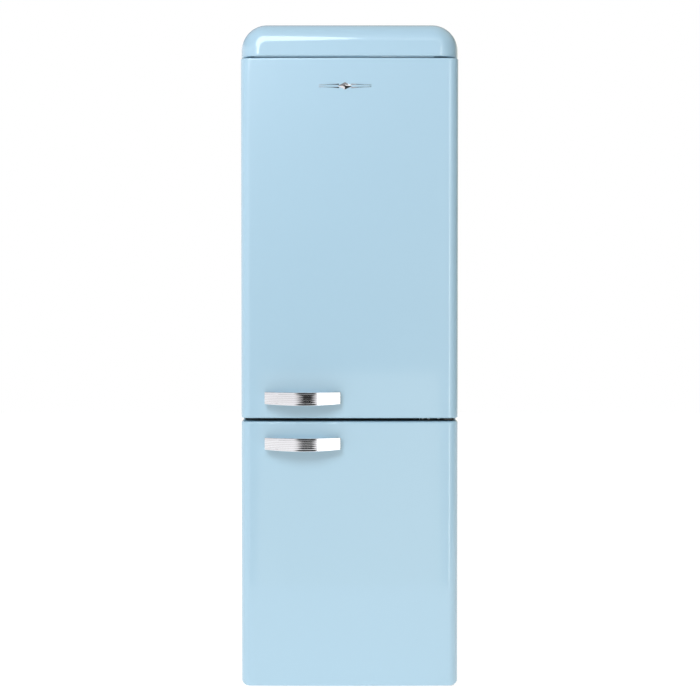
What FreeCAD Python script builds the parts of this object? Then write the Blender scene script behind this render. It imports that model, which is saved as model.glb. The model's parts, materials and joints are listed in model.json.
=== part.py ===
"""Retro two-door refrigerator: fresh-food compartment above, freezer below.

Frame: millimetres, +Z up, origin on the floor under the middle of the overall depth and width.
The doors face -Y. Both doors hang on the +X side and open towards -Y.
Each function builds one sub-part, and the table at the end writes one STEP file for each.
"""
import FreeCAD, Part
import math
import os

Vector = FreeCAD.Vector

# ---- Driving sizes ---------------------------------------------------------------------------
WIDTH = 600.0                 # doors and top cap
HEIGHT = 1850.0
DEPTH = 660.0                 # handle fronts to the back of the condenser
HANDLE_STAND_OFF = 44.0
DOOR_DEPTH = 66.0             # front of the door to the plane that carries its gasket
GASKET_DEPTH = 12.0
CABINET_DEPTH = 498.0
CABINET_WIDTH = 596.0
SHEET = 1.0                   # painted steel sheet
LINER = 2.0                   # thermoformed liner wall
MOVING_GAP = 0.3              # least gap between faces on different bodies
PIN_R = 4.0                   # door hinge pins
PIN_CLEARANCE = 0.06
SCREW_R = 2.4
HEAD_R = 4.2                  # fits between the two doors
SWING_TO_FRONT = 43.0         # hinge axis behind the door front
SWING_TO_SIDE = 18.0          # hinge axis inside the door side

# Heights of the main planes
BASE_Z = 40.0                 # underside of the cabinet
CAP_Z = 1756.0                # underside of the top cap
FREEZER_DOOR_Z = (20.0, 753.5)
FRIDGE_DOOR_Z = (762.5, 1752.2)
MULLION_Z = 762.0             # where the two liners meet at the front

# ---- Planes that follow from them ------------------------------------------------------------
HALF_W = WIDTH / 2
CAB_HALF = CABINET_WIDTH / 2
FRONT_Y = -DEPTH / 2
DOOR_FRONT_Y = FRONT_Y + HANDLE_STAND_OFF
DOOR_BACK_Y = DOOR_FRONT_Y + DOOR_DEPTH
CAB_FRONT_Y = DOOR_BACK_Y + GASKET_DEPTH
CAB_BACK_Y = CAB_FRONT_Y + CABINET_DEPTH
AXIS_X = HALF_W - SWING_TO_SIDE
AXIS_Y = DOOR_FRONT_Y + SWING_TO_FRONT
INNER_HALF = CAB_HALF - SHEET
FOAM_BACK_Y = CAB_BACK_Y - SHEET

# Fresh-food cavity, freezer cavity and machine compartment
FRIDGE_HALF = 243.0
FRIDGE_BACK_Y = 240.0
FRIDGE_Z = (792.0, 1712.0)
FREEZER_HALF = 238.0
FREEZER_BACK_Y = 225.0
FREEZER_Z = (87.0, 735.0)
HUMP_Y = 85.0                 # front of the step over the machine compartment
HUMP_Z = 285.0
MACHINE_Y = 125.0
MACHINE_Z = 240.0
LIP_HALF = 268.0              # outer edge of the liner lips on the cabinet front
CAVITY_CORNER = 18.0

# Door shape
DOOR_CORNER = 27.0            # vertical front edges
DOOR_CROWN = 3.0              # bulge of the door front over its width
CROWN_R = ((HALF_W - DOOR_CORNER) ** 2 + DOOR_CROWN ** 2) / (2 * DOOR_CROWN)
DOOR_SHEET = 1.2
DOOR_FOLD = 16.0              # width of the skin's fold behind the door
HINGE_BOSS = 26.0             # length of the sleeve that turns on a pin
END_CAP = 10.0
END_CAP_ROUND = 8.0
PLUG_HALF = 232.0             # the part of a door liner that stands into the cabinet
FRIDGE_PLUG = 24.0
FREEZER_PLUG = 20.0
PLUG_MARGIN = 8.0             # plug to the cavity's top and bottom
DYKE_IN = 214.0               # inner side of the ribs that carry the door shelves
DYKE_DEPTH = 46.0
DYKE_MARGIN = 14.0            # ribs to the plug's top and bottom
GASKET_HALF = 280.0
GASKET_WIDTH = 18.0

# Top cap
CAP_SIDE_ROUND = 72.0
CAP_FRONT_ROUND = 54.0
CAP_BACK_Y = CAB_BACK_Y - 4.0
CAP_WALL = 3.0

# Handles and badge
HANDLE_X = -128.5
HANDLE_LENGTH = 209.0
HANDLE_HEIGHT = 36.0
HANDLE_BOW = 24.0             # how much further out the middle is than the ends
HANDLE_BAR = 11.0
HANDLE_FOOT = 24.0            # length of each mounting foot
FRIDGE_HANDLE_Z = 818.5
FREEZER_HANDLE_Z = 693.5
BADGE = (-12.5, 1674.0, 144.0, 20.0)     # middle x and z, length, height
BADGE_STAND = 2.4

# Fresh-food compartment
SHELF_GLASS = 4.0
SHELF_Z = (1150.0, 1330.0, 1510.0)
CRISPER_COVER_Z = 968.0
SHELF_FRONT_Y = -88.0
SHELF_BACK_Y = 214.0
SHELF_HALF = 241.0
LEDGE = (10.0, 8.0)           # width and height of the moulded ledges
TRIM = (12.0, 14.0)           # depth and height of the shelf trims
BALCONY_DEPTH = 95.0
BALCONY_WALL = 2.5
BALCONIES = {"bottle_balcony": (815.0, 105.0),
             "middle_balcony": (1130.0, 75.0),
             "upper_balcony": (1420.0, 75.0)}
CRISPER = (232.0, -85.0, 205.0, 794.0, 955.0)     # half width, front, back, bottom, top
CONTROL = (150.0, -175.0, -20.0, 1656.0)          # half width, front, back, underside
KNOB_X = 70.0
KNOB_R = 17.0
PLUNGER_X = 125.0
PLUNGER_R = 3.5
CONTROL_Z = 1686.0

# Freezer drawers: front y, back y, bottom z, top z
FREEZER_DRAWERS = {"freezer_drawer_bottom": (-172.0, 78.0, 89.0, 268.0),
                   "freezer_drawer_middle": (-172.0, 190.0, 300.0, 484.0),
                   "freezer_drawer_top": (-172.0, 190.0, 520.0, 704.0)}
DRAWER_HALF = 230.0
DRAWER_WALL = 3.0
DRAWER_FRONT = 8.0
EVAPORATOR_Z = (292.0, 512.0, 722.0)
EVAPORATOR_R = 4.0

# Machine compartment and condenser
COMPRESSOR = (-110.0, 205.0, 57.0)        # axis x, y and underside z
COMPRESSOR_R = 72.0
COMPRESSOR_H = 150.0
PLATE = 3.0                   # the plate that the compressor stands on
STIFFENER = 3.0
BASE_PLATE = 2.0
TRAY_Z = (212.0, 232.0)
CONDENSER_Z = (330.0, 1130.0)
CONDENSER_PITCH = 50.0
CONDENSER_HALF = 215.0
CONDENSER_TUBE_R = 3.0
WIRE_R = 0.8
WIRE_PITCH = 20.0
CONDENSER_Y = DEPTH / 2 - CONDENSER_TUBE_R - 2 * WIRE_R
DRIER = (150.0, 250.0, 120.0, 200.0)      # x, y, bottom and top
DRAIN_Y = 262.0
DRAIN_Z = 812.0
DRAIN_R = 7.0
DRAIN_BEND = 14.0
DRAIN_ROUTE = [(0, FRIDGE_BACK_Y - 1, DRAIN_Z), (0, DRAIN_Y, DRAIN_Z), (0, DRAIN_Y, TRAY_Z[1] - 8)]

# Hinges: leaves and flanges as bottom and top z, screws as distance from the axis
HINGE_NOSE = 10.0
FLANGE = 4.0
HINGE_REACH = 46.0
PIN_DEPTH = 20.0              # how far a pin reaches into a door
TOP_LEAF_Z = (CAP_Z + CAP_WALL, CAP_Z + 6)
MIDDLE_LEAF_Z = (756.0, 760.0)
MIDDLE_FLANGE_Z = (747.0, 769.0)
MIDDLE_FLANGE_REACH = 84.0
BOTTOM_LEAF_Z = (12.0, 16.0)
BOTTOM_FLANGE_Z = (12.0, 62.0)
TOP_HINGE_SCREWS = [(AXIS_X - x, y, TOP_LEAF_Z[1]) for x, y in ((34, -180), (34, -150), (12, -150))]
MIDDLE_HINGE_SCREWS = [(AXIS_X - x, CAB_FRONT_Y - FLANGE, 758) for x in (76, 60, 32)]
BOTTOM_HINGE_SCREWS = [(AXIS_X - x, CAB_FRONT_Y - FLANGE, 52) for x in (38, 18)]

# Feet and rollers
FOOT_AT = (240.0, -185.0)
FOOT_PAD_R = 19.0
FOOT_PAD_H = 14.0
STUD_R = 5.0
STUD_TOP = 62.0
ROLLER_AT = (235.0, 262.0, 18.0)
ROLLER_R = 18.0
ROLLER_W = 16.0
AXLE_R = 4.0


# ---- Small helpers ---------------------------------------------------------------------------
def box(x0, x1, y0, y1, z0, z1):
    """A box between two corners."""
    return Part.makeBox(x1 - x0, y1 - y0, z1 - z0, Vector(x0, y0, z0))


def cylinder(start, direction, radius, length):
    return Part.makeCylinder(radius, length, Vector(*start), Vector(*direction))


def both_sides(shape):
    """A shape and its mirror image in the plane x = 0."""
    return [shape, shape.mirror(Vector(0, 0, 0), Vector(1, 0, 0))]


def union(shapes):
    """One solid from shapes that touch or overlap."""
    return shapes[0].multiFuse(shapes[1:]).removeSplitter()


def group(shapes):
    """Separate solids in one node."""
    return Part.makeCompound([solid for shape in shapes for solid in shape.Solids])


def edges_along(shape, axis, keep=lambda middle: True):
    """Straight edges parallel to an axis whose middle passes a test."""
    found = []
    for edge in shape.Edges:
        if not isinstance(edge.Curve, Part.Line):
            continue
        run = edge.Vertexes[-1].Point - edge.Vertexes[0].Point
        if abs(abs(run.normalize().dot(Vector(*axis))) - 1) < 1e-6 and keep(edge.CenterOfMass):
            found.append(edge)
    return found


def prism_x(points, x0, x1):
    """An outline of (y, z) points, extruded along X."""
    wire = Part.makePolygon([Vector(x0, y, z) for y, z in points + points[:1]])
    return Part.Face(wire).extrude(Vector(x1 - x0, 0, 0))


def rounded_plate(x0, x1, y0, y1, z0, z1, radius):
    """A box with rounded vertical edges."""
    plate = box(x0, x1, y0, y1, z0, z1)
    return plate.makeFillet(radius, edges_along(plate, (0, 0, 1)))


def route_wire(points, radius):
    """Straight runs through points, joined by tangent arcs of one radius."""
    points = [Vector(*p) for p in points]
    edges, start = [], points[0]
    for before, corner, after in zip(points, points[1:], points[2:]):
        back, ahead = (before - corner).normalize(), (after - corner).normalize()
        half_turn = (math.pi - back.getAngle(ahead)) / 2
        reach = radius * math.tan(half_turn)
        enter, leave = corner + back * reach, corner + ahead * reach
        bisector = (back + ahead).normalize()
        middle = corner + bisector * (radius / math.cos(half_turn) - radius)
        if (enter - start).Length > 1e-6:
            edges.append(Part.LineSegment(start, enter).toShape())
        edges.append(Part.Arc(enter, middle, leave).toShape())
        start = leave
    edges.append(Part.LineSegment(start, points[-1]).toShape())
    return Part.Wire(edges)


def tube(points, radius, bend, bore=0.0):
    """A round tube along a route; with a bore it is hollow."""
    wire = route_wire(points, bend)
    start = Vector(*points[0])
    direction = (Vector(*points[1]) - start).normalize()

    def swept(r):
        ring = Part.Wire(Part.makeCircle(r, start, direction))
        return wire.makePipeShell([ring], True, False)
    solid = swept(radius)
    return solid.cut(swept(bore)) if bore else solid


def pan_screw(head, direction, shank):
    """A pan-head screw: its seat, the way its head faces and its shank length."""
    dx, dy, dz = direction
    body = cylinder(head, (-dx, -dy, -dz), SCREW_R, shank)
    top = cylinder(head, direction, HEAD_R, 2.6)
    return union([top, body])


def open_tray(half, y0, y1, z0, z1, wall, corner):
    """A tray with four walls and a floor, open at the top."""
    outer = rounded_plate(-half, half, y0, y1, z0, z1, corner)
    inner = rounded_plate(-half + wall, half - wall, y0 + wall, y1 - wall, z0 + wall, z1 + 1, corner - wall)
    return outer.cut(inner)


# ---- Cabinet ---------------------------------------------------------------------------------
def fridge_cavity(grow=0.0):
    """The fresh-food cavity with rounded corners, grown by a wall thickness."""
    solid = box(-FRIDGE_HALF - grow, FRIDGE_HALF + grow, CAB_FRONT_Y, FRIDGE_BACK_Y + grow,
                FRIDGE_Z[0] - grow, FRIDGE_Z[1] + grow)
    front = CAB_FRONT_Y + 1
    return solid.makeFillet(CAVITY_CORNER + grow, [e for e in solid.Edges if e.CenterOfMass.y > front])


def freezer_cavity(grow=0.0):
    """The freezer cavity, with the step over the machine compartment at the back."""
    profile = [(CAB_FRONT_Y, FREEZER_Z[0] - grow), (HUMP_Y + grow, FREEZER_Z[0] - grow),
               (HUMP_Y + grow, HUMP_Z - grow), (FREEZER_BACK_Y + grow, HUMP_Z - grow),
               (FREEZER_BACK_Y + grow, FREEZER_Z[1] + grow), (CAB_FRONT_Y, FREEZER_Z[1] + grow)]
    solid = prism_x(profile, -FREEZER_HALF - grow, FREEZER_HALF + grow)
    return solid.makeFillet(CAVITY_CORNER + grow, edges_along(solid, (0, 1, 0)))


def cabinet_wrap():
    """One sheet bent over the top and both sides, folded in at the front for the gaskets to land on."""
    side = box(CAB_HALF - SHEET, CAB_HALF, CAB_FRONT_Y, CAB_BACK_Y, BASE_Z, CAP_Z)
    fold = box(LIP_HALF, CAB_HALF, CAB_FRONT_Y, CAB_FRONT_Y + SHEET, BASE_Z, CAP_Z)
    top = box(-CAB_HALF, CAB_HALF, CAB_FRONT_Y + SHEET, FOAM_BACK_Y, CAP_Z - SHEET, CAP_Z)
    return union([top] + both_sides(union([side, fold])))


def base_pan():
    """Folded floor sheet: under the freezer, up behind it and back over the compressor."""
    profile = [(CAB_FRONT_Y + SHEET, BASE_Z), (MACHINE_Y, BASE_Z), (MACHINE_Y, MACHINE_Z),
               (FOAM_BACK_Y, MACHINE_Z), (FOAM_BACK_Y, MACHINE_Z + SHEET),
               (MACHINE_Y - SHEET, MACHINE_Z + SHEET), (MACHINE_Y - SHEET, BASE_Z + SHEET),
               (CAB_FRONT_Y + SHEET, BASE_Z + SHEET)]
    pan = prism_x(profile, -INNER_HALF, INNER_HALF)
    nut = cylinder((FOOT_AT[0], FOOT_AT[1], BASE_Z + SHEET), (0, 0, 1), 10, 18)
    pan = union([pan] + both_sides(nut))
    bore = cylinder((FOOT_AT[0], FOOT_AT[1], BASE_Z - 1), (0, 0, 1), STUD_R + PIN_CLEARANCE, 30)
    for hole in both_sides(bore):
        pan = pan.cut(hole)
    drain = cylinder((0, DRAIN_Y, MACHINE_Z - 2), (0, 0, 1), DRAIN_R, 6)
    return pan.cut(drain)


def back_panel():
    return box(-INNER_HALF, INNER_HALF, FOAM_BACK_Y, CAB_BACK_Y, MACHINE_Z, CAP_Z)


def cabinet_foam(cold_plate):
    """Foamed-in insulation: fills all the space between the sheets and the liners."""
    foam = box(-INNER_HALF, INNER_HALF, CAB_FRONT_Y + SHEET, FOAM_BACK_Y, BASE_Z + SHEET, CAP_Z - SHEET)
    machine = box(-INNER_HALF, INNER_HALF, MACHINE_Y - SHEET, FOAM_BACK_Y, BASE_Z, MACHINE_Z + SHEET)
    well = cylinder((FOOT_AT[0], FOOT_AT[1], BASE_Z), (0, 0, 1), 10, STUD_TOP - BASE_Z + 6)
    for hollow in [machine, fridge_cavity(LINER), freezer_cavity(LINER), cold_plate,
                   tube(DRAIN_ROUTE, DRAIN_R, DRAIN_BEND)] + both_sides(well):
        foam = foam.cut(hollow)
    return foam


def ledge(z, half, y0, y1):
    """A moulded ledge under the edge of a shelf, on the +X wall."""
    width, height = LEDGE
    return box(half - width, half + LINER / 2, y0, y1, z - height, z)


def fridge_liner():
    """Thermoformed tub with its front lip and the ledges that carry the shelves."""
    opening = fridge_cavity()
    tub = fridge_cavity(LINER).cut(opening)
    lip = box(-LIP_HALF, LIP_HALF, CAB_FRONT_Y, CAB_FRONT_Y + SHEET, MULLION_Z, CAP_Z).cut(opening)
    ledges = []
    for z in SHELF_Z + (CRISPER_COVER_Z,):
        ledges += both_sides(ledge(z, FRIDGE_HALF, SHELF_FRONT_Y + TRIM[0], SHELF_BACK_Y - TRIM[0]))
    liner = union([tub, lip] + ledges)
    return liner.cut(tube(DRAIN_ROUTE, DRAIN_R, DRAIN_BEND))


def freezer_liner():
    opening = freezer_cavity()
    tub = freezer_cavity(LINER).cut(opening)
    lip = box(-LIP_HALF, LIP_HALF, CAB_FRONT_Y, CAB_FRONT_Y + SHEET, BASE_Z, MULLION_Z).cut(opening)
    rails = []
    for z in EVAPORATOR_Z:
        rails += both_sides(box(FREEZER_HALF - 7, FREEZER_HALF + LINER / 2, -160, HUMP_Y - 15,
                                z - EVAPORATOR_R - 6, z - EVAPORATOR_R))
    return union([tub, lip] + rails)


def cap_block(inset):
    """The cap's outside, drawn inwards by an inset: an arched front view with its front edge rounded over."""
    x, z1 = HALF_W - inset, HEIGHT - inset
    y0, y1 = DOOR_FRONT_Y + inset, CAP_BACK_Y - inset
    block = box(-x, x, y0, y1, CAP_Z, z1)
    block = block.makeFillet(CAP_SIDE_ROUND - inset, edges_along(block, (0, 1, 0), lambda m: m.z > CAP_Z + 1))
    front = [e for e in block.Edges if e.BoundBox.YMax < y0 + 0.01 and e.CenterOfMass.z > CAP_Z + 1]
    return block.makeFillet(CAP_FRONT_ROUND - inset, front)


def top_cap():
    """Hollow cap with the rounded front and sides. It overhangs the doors, where its underside is closed."""
    inner = cap_block(CAP_WALL)
    closed = box(-HALF_W, HALF_W, DOOR_FRONT_Y, CAB_FRONT_Y, CAP_Z, CAP_Z + CAP_WALL)
    shell = cap_block(0.0).cut(inner.cut(closed))
    hinge_hole = cylinder((AXIS_X, AXIS_Y, CAP_Z - 1), (0, 0, 1), PIN_R + 3, CAP_WALL + 2)
    return shell.cut(hinge_hole)


# ---- Doors -----------------------------------------------------------------------------------
def door_outline(inset, z):
    """The door's plan: straight sides, round front edges and a slightly crowned front."""
    centre_y = DOOR_FRONT_Y + CROWN_R
    corner_x = HALF_W - DOOR_CORNER
    tilt = math.asin(corner_x / (CROWN_R - DOOR_CORNER))
    corner_y = centre_y - (CROWN_R - DOOR_CORNER) * math.cos(tilt)
    radius = DOOR_CORNER - inset

    def on_corner(angle):
        return Vector(corner_x + radius * math.cos(angle), corner_y - radius * math.sin(angle), z)
    end, middle = math.pi / 2 - tilt, (math.pi / 2 - tilt) / 2
    side, arc_middle, arc_end = on_corner(0), on_corner(middle), on_corner(end)
    back = Vector(HALF_W - inset, DOOR_BACK_Y - inset, z)

    def flip(point):
        return Vector(-point.x, point.y, point.z)
    crown_middle = Vector(0, DOOR_FRONT_Y + inset, z)
    edges = [Part.LineSegment(back, side), Part.Arc(side, arc_middle, arc_end),
             Part.Arc(arc_end, crown_middle, flip(arc_end)),
             Part.Arc(flip(arc_end), flip(arc_middle), flip(side)),
             Part.LineSegment(flip(side), flip(back)), Part.LineSegment(flip(back), back)]
    return Part.Face(Part.Wire([edge.toShape() for edge in edges]))


def door_block(z_range, inset=0.0):
    z0, z1 = z_range
    return door_outline(inset, z0).extrude(Vector(0, 0, z1 - z0))


def between_caps(z_range):
    return z_range[0] + END_CAP, z_range[1] - END_CAP


def door_skin(z_range):
    """Pressed steel skin: front, both sides and a narrow fold at the back."""
    z_skin = between_caps(z_range)
    window = box(-HALF_W + DOOR_FOLD, HALF_W - DOOR_FOLD, DOOR_BACK_Y - 5, DOOR_BACK_Y + 5, *z_skin)
    return door_block(z_skin).cut(door_block(z_skin, DOOR_SHEET)).cut(window)


def hinge_sleeve(z_range, at_top):
    """The boss in an end cap that turns on a hinge pin: its outside and its bore."""
    z = z_range[1] - HINGE_BOSS if at_top else z_range[0]
    boss = cylinder((AXIS_X, AXIS_Y, z), (0, 0, 1), PIN_R + 5, HINGE_BOSS)
    bore_z = z + 3 if at_top else z - 1
    bore = cylinder((AXIS_X, AXIS_Y, bore_z), (0, 0, 1), PIN_R + PIN_CLEARANCE, HINGE_BOSS - 2)
    return boss, bore


def door_end_caps(z_range):
    """Moulded top and bottom of a door, each with a hinge sleeve."""
    caps = []
    for at_top in (False, True):
        z0 = z_range[1] - END_CAP if at_top else z_range[0]
        outer_z = z_range[1] if at_top else z_range[0]
        cap = door_block((z0, z0 + END_CAP))
        rim = [e for e in cap.Edges
               if abs(e.CenterOfMass.z - outer_z) < 0.01 and e.CenterOfMass.y < DOOR_BACK_Y - 1]
        cap = cap.makeFillet(END_CAP_ROUND, rim)
        boss, bore = hinge_sleeve(z_range, at_top)
        caps.append(cap.fuse(boss).removeSplitter().cut(bore))
    return group(caps)


def plug_solid(cavity_z, plug, dykes, grow):
    """What a door liner encloses: the plug, and for the fridge door the two upright ribs."""
    z0, z1 = cavity_z[0] + PLUG_MARGIN, cavity_z[1] - PLUG_MARGIN
    shrink = LINER - grow
    body = box(-PLUG_HALF + shrink, PLUG_HALF - shrink, DOOR_BACK_Y - 3, DOOR_BACK_Y + plug - shrink,
               z0 + shrink, z1 - shrink)
    body = body.makeFillet(8, edges_along(body, (0, 1, 0)))
    if not dykes:
        return body
    rib = box(DYKE_IN + shrink, PLUG_HALF - shrink, DOOR_BACK_Y - 3, DOOR_BACK_Y + plug + DYKE_DEPTH - shrink,
              z0 + DYKE_MARGIN - grow, z1 - DYKE_MARGIN + grow)
    return union([body] + both_sides(rib))


def door_liner(z_range, cavity_z, plug, dykes):
    """Thermoformed inner face of a door: a flat rim for the gasket and the raised plug."""
    z0, z1 = between_caps(z_range)
    rim = box(-HALF_W + DOOR_FOLD, HALF_W - DOOR_FOLD, DOOR_BACK_Y - LINER, DOOR_BACK_Y, z0, z1)
    raised = plug_solid(cavity_z, plug, dykes, LINER)
    hollow = plug_solid(cavity_z, plug, dykes, 0.0)
    return union([rim, raised.cut(box(-HALF_W, HALF_W, -DEPTH, DOOR_BACK_Y - LINER, 0, HEIGHT))]).cut(hollow)


def door_foam(z_range, cavity_z, plug, dykes, liner_solid):
    """Insulation that fills the space between skin, end caps and liner."""
    z_skin = between_caps(z_range)
    core = door_block(z_skin, DOOR_SHEET)
    core = union([core, plug_solid(cavity_z, plug, dykes, 0.0)])
    core = core.cut(liner_solid)
    edge = box(-HALF_W, HALF_W, DOOR_BACK_Y - LINER, DOOR_BACK_Y, *z_skin)
    core = core.cut(edge.cut(plug_solid(cavity_z, plug, dykes, 0.0)))
    for at_top in (False, True):
        core = core.cut(hinge_sleeve(z_range, at_top)[0])
    return core


def door_gasket(z_range, margin_bottom, margin_top):
    """Magnetic seal: one closed frame around the back of a door."""
    z0, z1 = z_range[0] + margin_bottom, z_range[1] - margin_top
    y0, y1 = DOOR_BACK_Y, CAB_FRONT_Y - MOVING_GAP
    outer = box(-GASKET_HALF, GASKET_HALF, y0, y1, z0, z1)
    inner = box(-GASKET_HALF + GASKET_WIDTH, GASKET_HALF - GASKET_WIDTH, y0 - 1, y1 + 1,
                z0 + GASKET_WIDTH, z1 - GASKET_WIDTH)
    return outer.cut(inner)


def handle(z, door_solid):
    """Bowed bar on two feet, die cast in one piece."""
    half, end = HANDLE_LENGTH / 2, HANDLE_STAND_OFF - HANDLE_BOW
    z0 = z - HANDLE_HEIGHT / 2

    def at(x, out):
        return Vector(HANDLE_X + x, DOOR_FRONT_Y - out, z0)
    inner_half, bar_back = half - HANDLE_FOOT, end - HANDLE_BAR / 2
    behind_front = -2 * DOOR_CROWN
    front = Part.Arc(at(-half, end), at(0, HANDLE_STAND_OFF), at(half, end))
    back = Part.Arc(at(inner_half, bar_back), at(0, HANDLE_STAND_OFF - HANDLE_BAR), at(-inner_half, bar_back))
    corners = [at(half, end), at(half, behind_front), at(inner_half, behind_front), at(inner_half, bar_back)]
    right = [Part.LineSegment(a, b) for a, b in zip(corners, corners[1:])]
    corners = [at(-inner_half, bar_back), at(-inner_half, behind_front), at(-half, behind_front),
               at(-half, end)]
    left = [Part.LineSegment(a, b) for a, b in zip(corners, corners[1:])]
    outline = Part.Wire([edge.toShape() for edge in [front] + right + [back] + left])
    bar = Part.Face(outline).extrude(Vector(0, 0, HANDLE_HEIGHT))
    return bar.cut(door_solid)


def badge(door_solid):
    """A plain raised ornament: a lozenge between two pairs of tapering bars."""
    x, z, length, height = BADGE
    y = DOOR_FRONT_Y - BADGE_STAND

    def plate(points):
        wire = Part.makePolygon([Vector(x + px, y, z + pz) for px, pz in points + points[:1]])
        return Part.Face(wire).extrude(Vector(0, BADGE_STAND + 2, 0))
    lozenge = plate([(-height, 0), (0, -height / 2), (height, 0), (0, height / 2)])
    pieces = [lozenge]
    start, end = height * 0.62 + 4, length / 2
    for side in (-1, 1):
        for level in (-1, 1):
            z_in, z_out = level * 4.6, level * 2.4
            pieces.append(plate([(side * start, z_in - 1.6), (side * end, z_out - 0.7),
                                 (side * end, z_out + 0.7), (side * start, z_in + 1.6)]))
    return group([piece.cut(door_solid) for piece in pieces])


# ---- Hinges, screws and feet -----------------------------------------------------------------
def hinge_plate(z0, z1, y1, reach):
    """Flat hinge leaf around the axis: a reach towards -X, a round nose, and its back at y1."""
    leaf = box(AXIS_X - reach, AXIS_X + HINGE_NOSE, AXIS_Y, y1, z0, z1)
    nose = cylinder((AXIS_X, AXIS_Y, z0), (0, 0, 1), HINGE_NOSE, z1 - z0)
    web = box(AXIS_X - reach, AXIS_X, AXIS_Y - HINGE_NOSE, AXIS_Y, z0, z1)
    return union([leaf, nose, web])


def hinge_pin(z0, z1):
    return cylinder((AXIS_X, AXIS_Y, z0), (0, 0, 1), PIN_R, z1 - z0)


def drilled(solid, screws, inward):
    """Holes for the screw shanks."""
    dx, dy, dz = inward
    for x, y, z in screws:
        solid = solid.cut(cylinder((x - dx, y - dy, z - dz), inward, SCREW_R, 8))
    return solid


def top_hinge():
    """Leaf that reaches forward inside the cap, with the pin that hangs down into the fridge door."""
    leaf = hinge_plate(*TOP_LEAF_Z, CAB_FRONT_Y + 10, HINGE_REACH)
    seat_back = CAB_FRONT_Y + 73
    seat = box(AXIS_X - HINGE_REACH, AXIS_X + HINGE_NOSE, CAB_FRONT_Y + SHEET, seat_back, CAP_Z, TOP_LEAF_Z[1])
    solid = union([leaf, seat, hinge_pin(FRIDGE_DOOR_Z[1] - PIN_DEPTH, TOP_LEAF_Z[1])])
    return drilled(solid, TOP_HINGE_SCREWS, (0, 0, -1))


def middle_hinge():
    """Leaf between the doors with a pin up into one and down into the other."""
    leaf = hinge_plate(*MIDDLE_LEAF_Z, CAB_FRONT_Y, 2 * HINGE_NOSE)
    flange = box(AXIS_X - MIDDLE_FLANGE_REACH, AXIS_X + HINGE_NOSE, CAB_FRONT_Y - FLANGE, CAB_FRONT_Y,
                 *MIDDLE_FLANGE_Z)
    solid = union([leaf, flange, hinge_pin(FREEZER_DOOR_Z[1] - PIN_DEPTH, FRIDGE_DOOR_Z[0] + PIN_DEPTH)])
    return drilled(solid, MIDDLE_HINGE_SCREWS, (0, 1, 0))


def bottom_hinge():
    """Angle under the freezer door with the pin that carries it."""
    leaf = hinge_plate(*BOTTOM_LEAF_Z, CAB_FRONT_Y, HINGE_REACH)
    flange = box(AXIS_X - HINGE_REACH, AXIS_X + HINGE_NOSE, CAB_FRONT_Y - FLANGE, CAB_FRONT_Y, *BOTTOM_FLANGE_Z)
    solid = union([leaf, flange, hinge_pin(BOTTOM_LEAF_Z[0], FREEZER_DOOR_Z[0] + PIN_DEPTH)])
    return drilled(solid, BOTTOM_HINGE_SCREWS, (0, 1, 0))


def hinge_screws():
    screws = [pan_screw(at, (0, 0, 1), 6.0) for at in TOP_HINGE_SCREWS]
    for seat in (MIDDLE_HINGE_SCREWS, BOTTOM_HINGE_SCREWS):
        screws += [pan_screw(at, (0, -1, 0), 4.0) for at in seat]
    return group(screws)


def front_foot(side):
    """Levelling foot: a round pad with a stud that screws into the base pan."""
    x, y = side * FOOT_AT[0], FOOT_AT[1]
    pad = cylinder((x, y, 0), (0, 0, 1), FOOT_PAD_R, FOOT_PAD_H)
    pad = pad.makeFillet(2.5, [e for e in pad.Edges if abs(e.CenterOfMass.z - FOOT_PAD_H) < 0.1])
    stud = cylinder((x, y, FOOT_PAD_H), (0, 0, 1), STUD_R, STUD_TOP - FOOT_PAD_H)
    return union([pad, stud])


def rear_roller(side):
    x, y, z = ROLLER_AT
    wheel = cylinder((x - ROLLER_W / 2, y, z), (1, 0, 0), ROLLER_R, ROLLER_W)
    wheel = wheel.makeFillet(2, [e for e in wheel.Edges if isinstance(e.Curve, Part.Circle)])
    wheel = wheel.cut(cylinder((x - ROLLER_W, y, z), (1, 0, 0), AXLE_R + 0.1, 2 * ROLLER_W))
    return wheel if side > 0 else both_sides(wheel)[1]


def roller_brackets():
    """A U-shaped bracket with a riveted axle over each rear roller."""
    x, y, z = ROLLER_AT
    inside, sheet, half, low = ROLLER_W / 2 + 1.5, 2.0, 14.0, 8.0
    outside = inside + sheet
    cheeks = [box(x + a, x + b, y - half, y + half, low, BASE_Z)
              for a, b in ((-outside, -inside), (inside, outside))]
    roof = box(x - outside, x + outside, y - half, y + half, BASE_Z - sheet, BASE_Z)
    axle = cylinder((x - outside - 2, y, z), (1, 0, 0), AXLE_R, 2 * outside + 4)
    return group(both_sides(union(cheeks + [roof, axle])))


# ---- Fresh-food compartment ------------------------------------------------------------------
def shelf_glass(z):
    return box(-SHELF_HALF, SHELF_HALF, SHELF_FRONT_Y, SHELF_BACK_Y, z, z + SHELF_GLASS)


def shelf_trims(levels):
    """Front and back edge mouldings, each with a groove for the glass."""
    depth, height = TRIM
    trims = []
    for z in levels:
        for y in (SHELF_FRONT_Y - 6, SHELF_BACK_Y - depth + 6):
            bar = box(-SHELF_HALF, SHELF_HALF, y, y + depth, z - 4, z - 4 + height)
            bar = bar.makeFillet(2, edges_along(bar, (1, 0, 0)))
            trims.append(bar.cut(shelf_glass(z)))
    return group(trims)


def balcony(z, height):
    """Door shelf: a tray that clips between the two ribs of the door liner."""
    y0 = DOOR_BACK_Y + FRIDGE_PLUG
    return open_tray(DYKE_IN, y0, y0 + BALCONY_DEPTH, z, z + height, BALCONY_WALL, 6.0)


def crisper_drawer():
    half, y0, y1, z0, z1 = CRISPER
    tray = open_tray(half, y0, y1, z0, z1, DRAWER_WALL, 14.0)
    grip = box(-70, 70, y0 - 9, y0 + 1, z1 - 26, z1 - 6)
    return union([tray, grip.makeFillet(3, edges_along(grip, (1, 0, 0)))])


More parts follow.
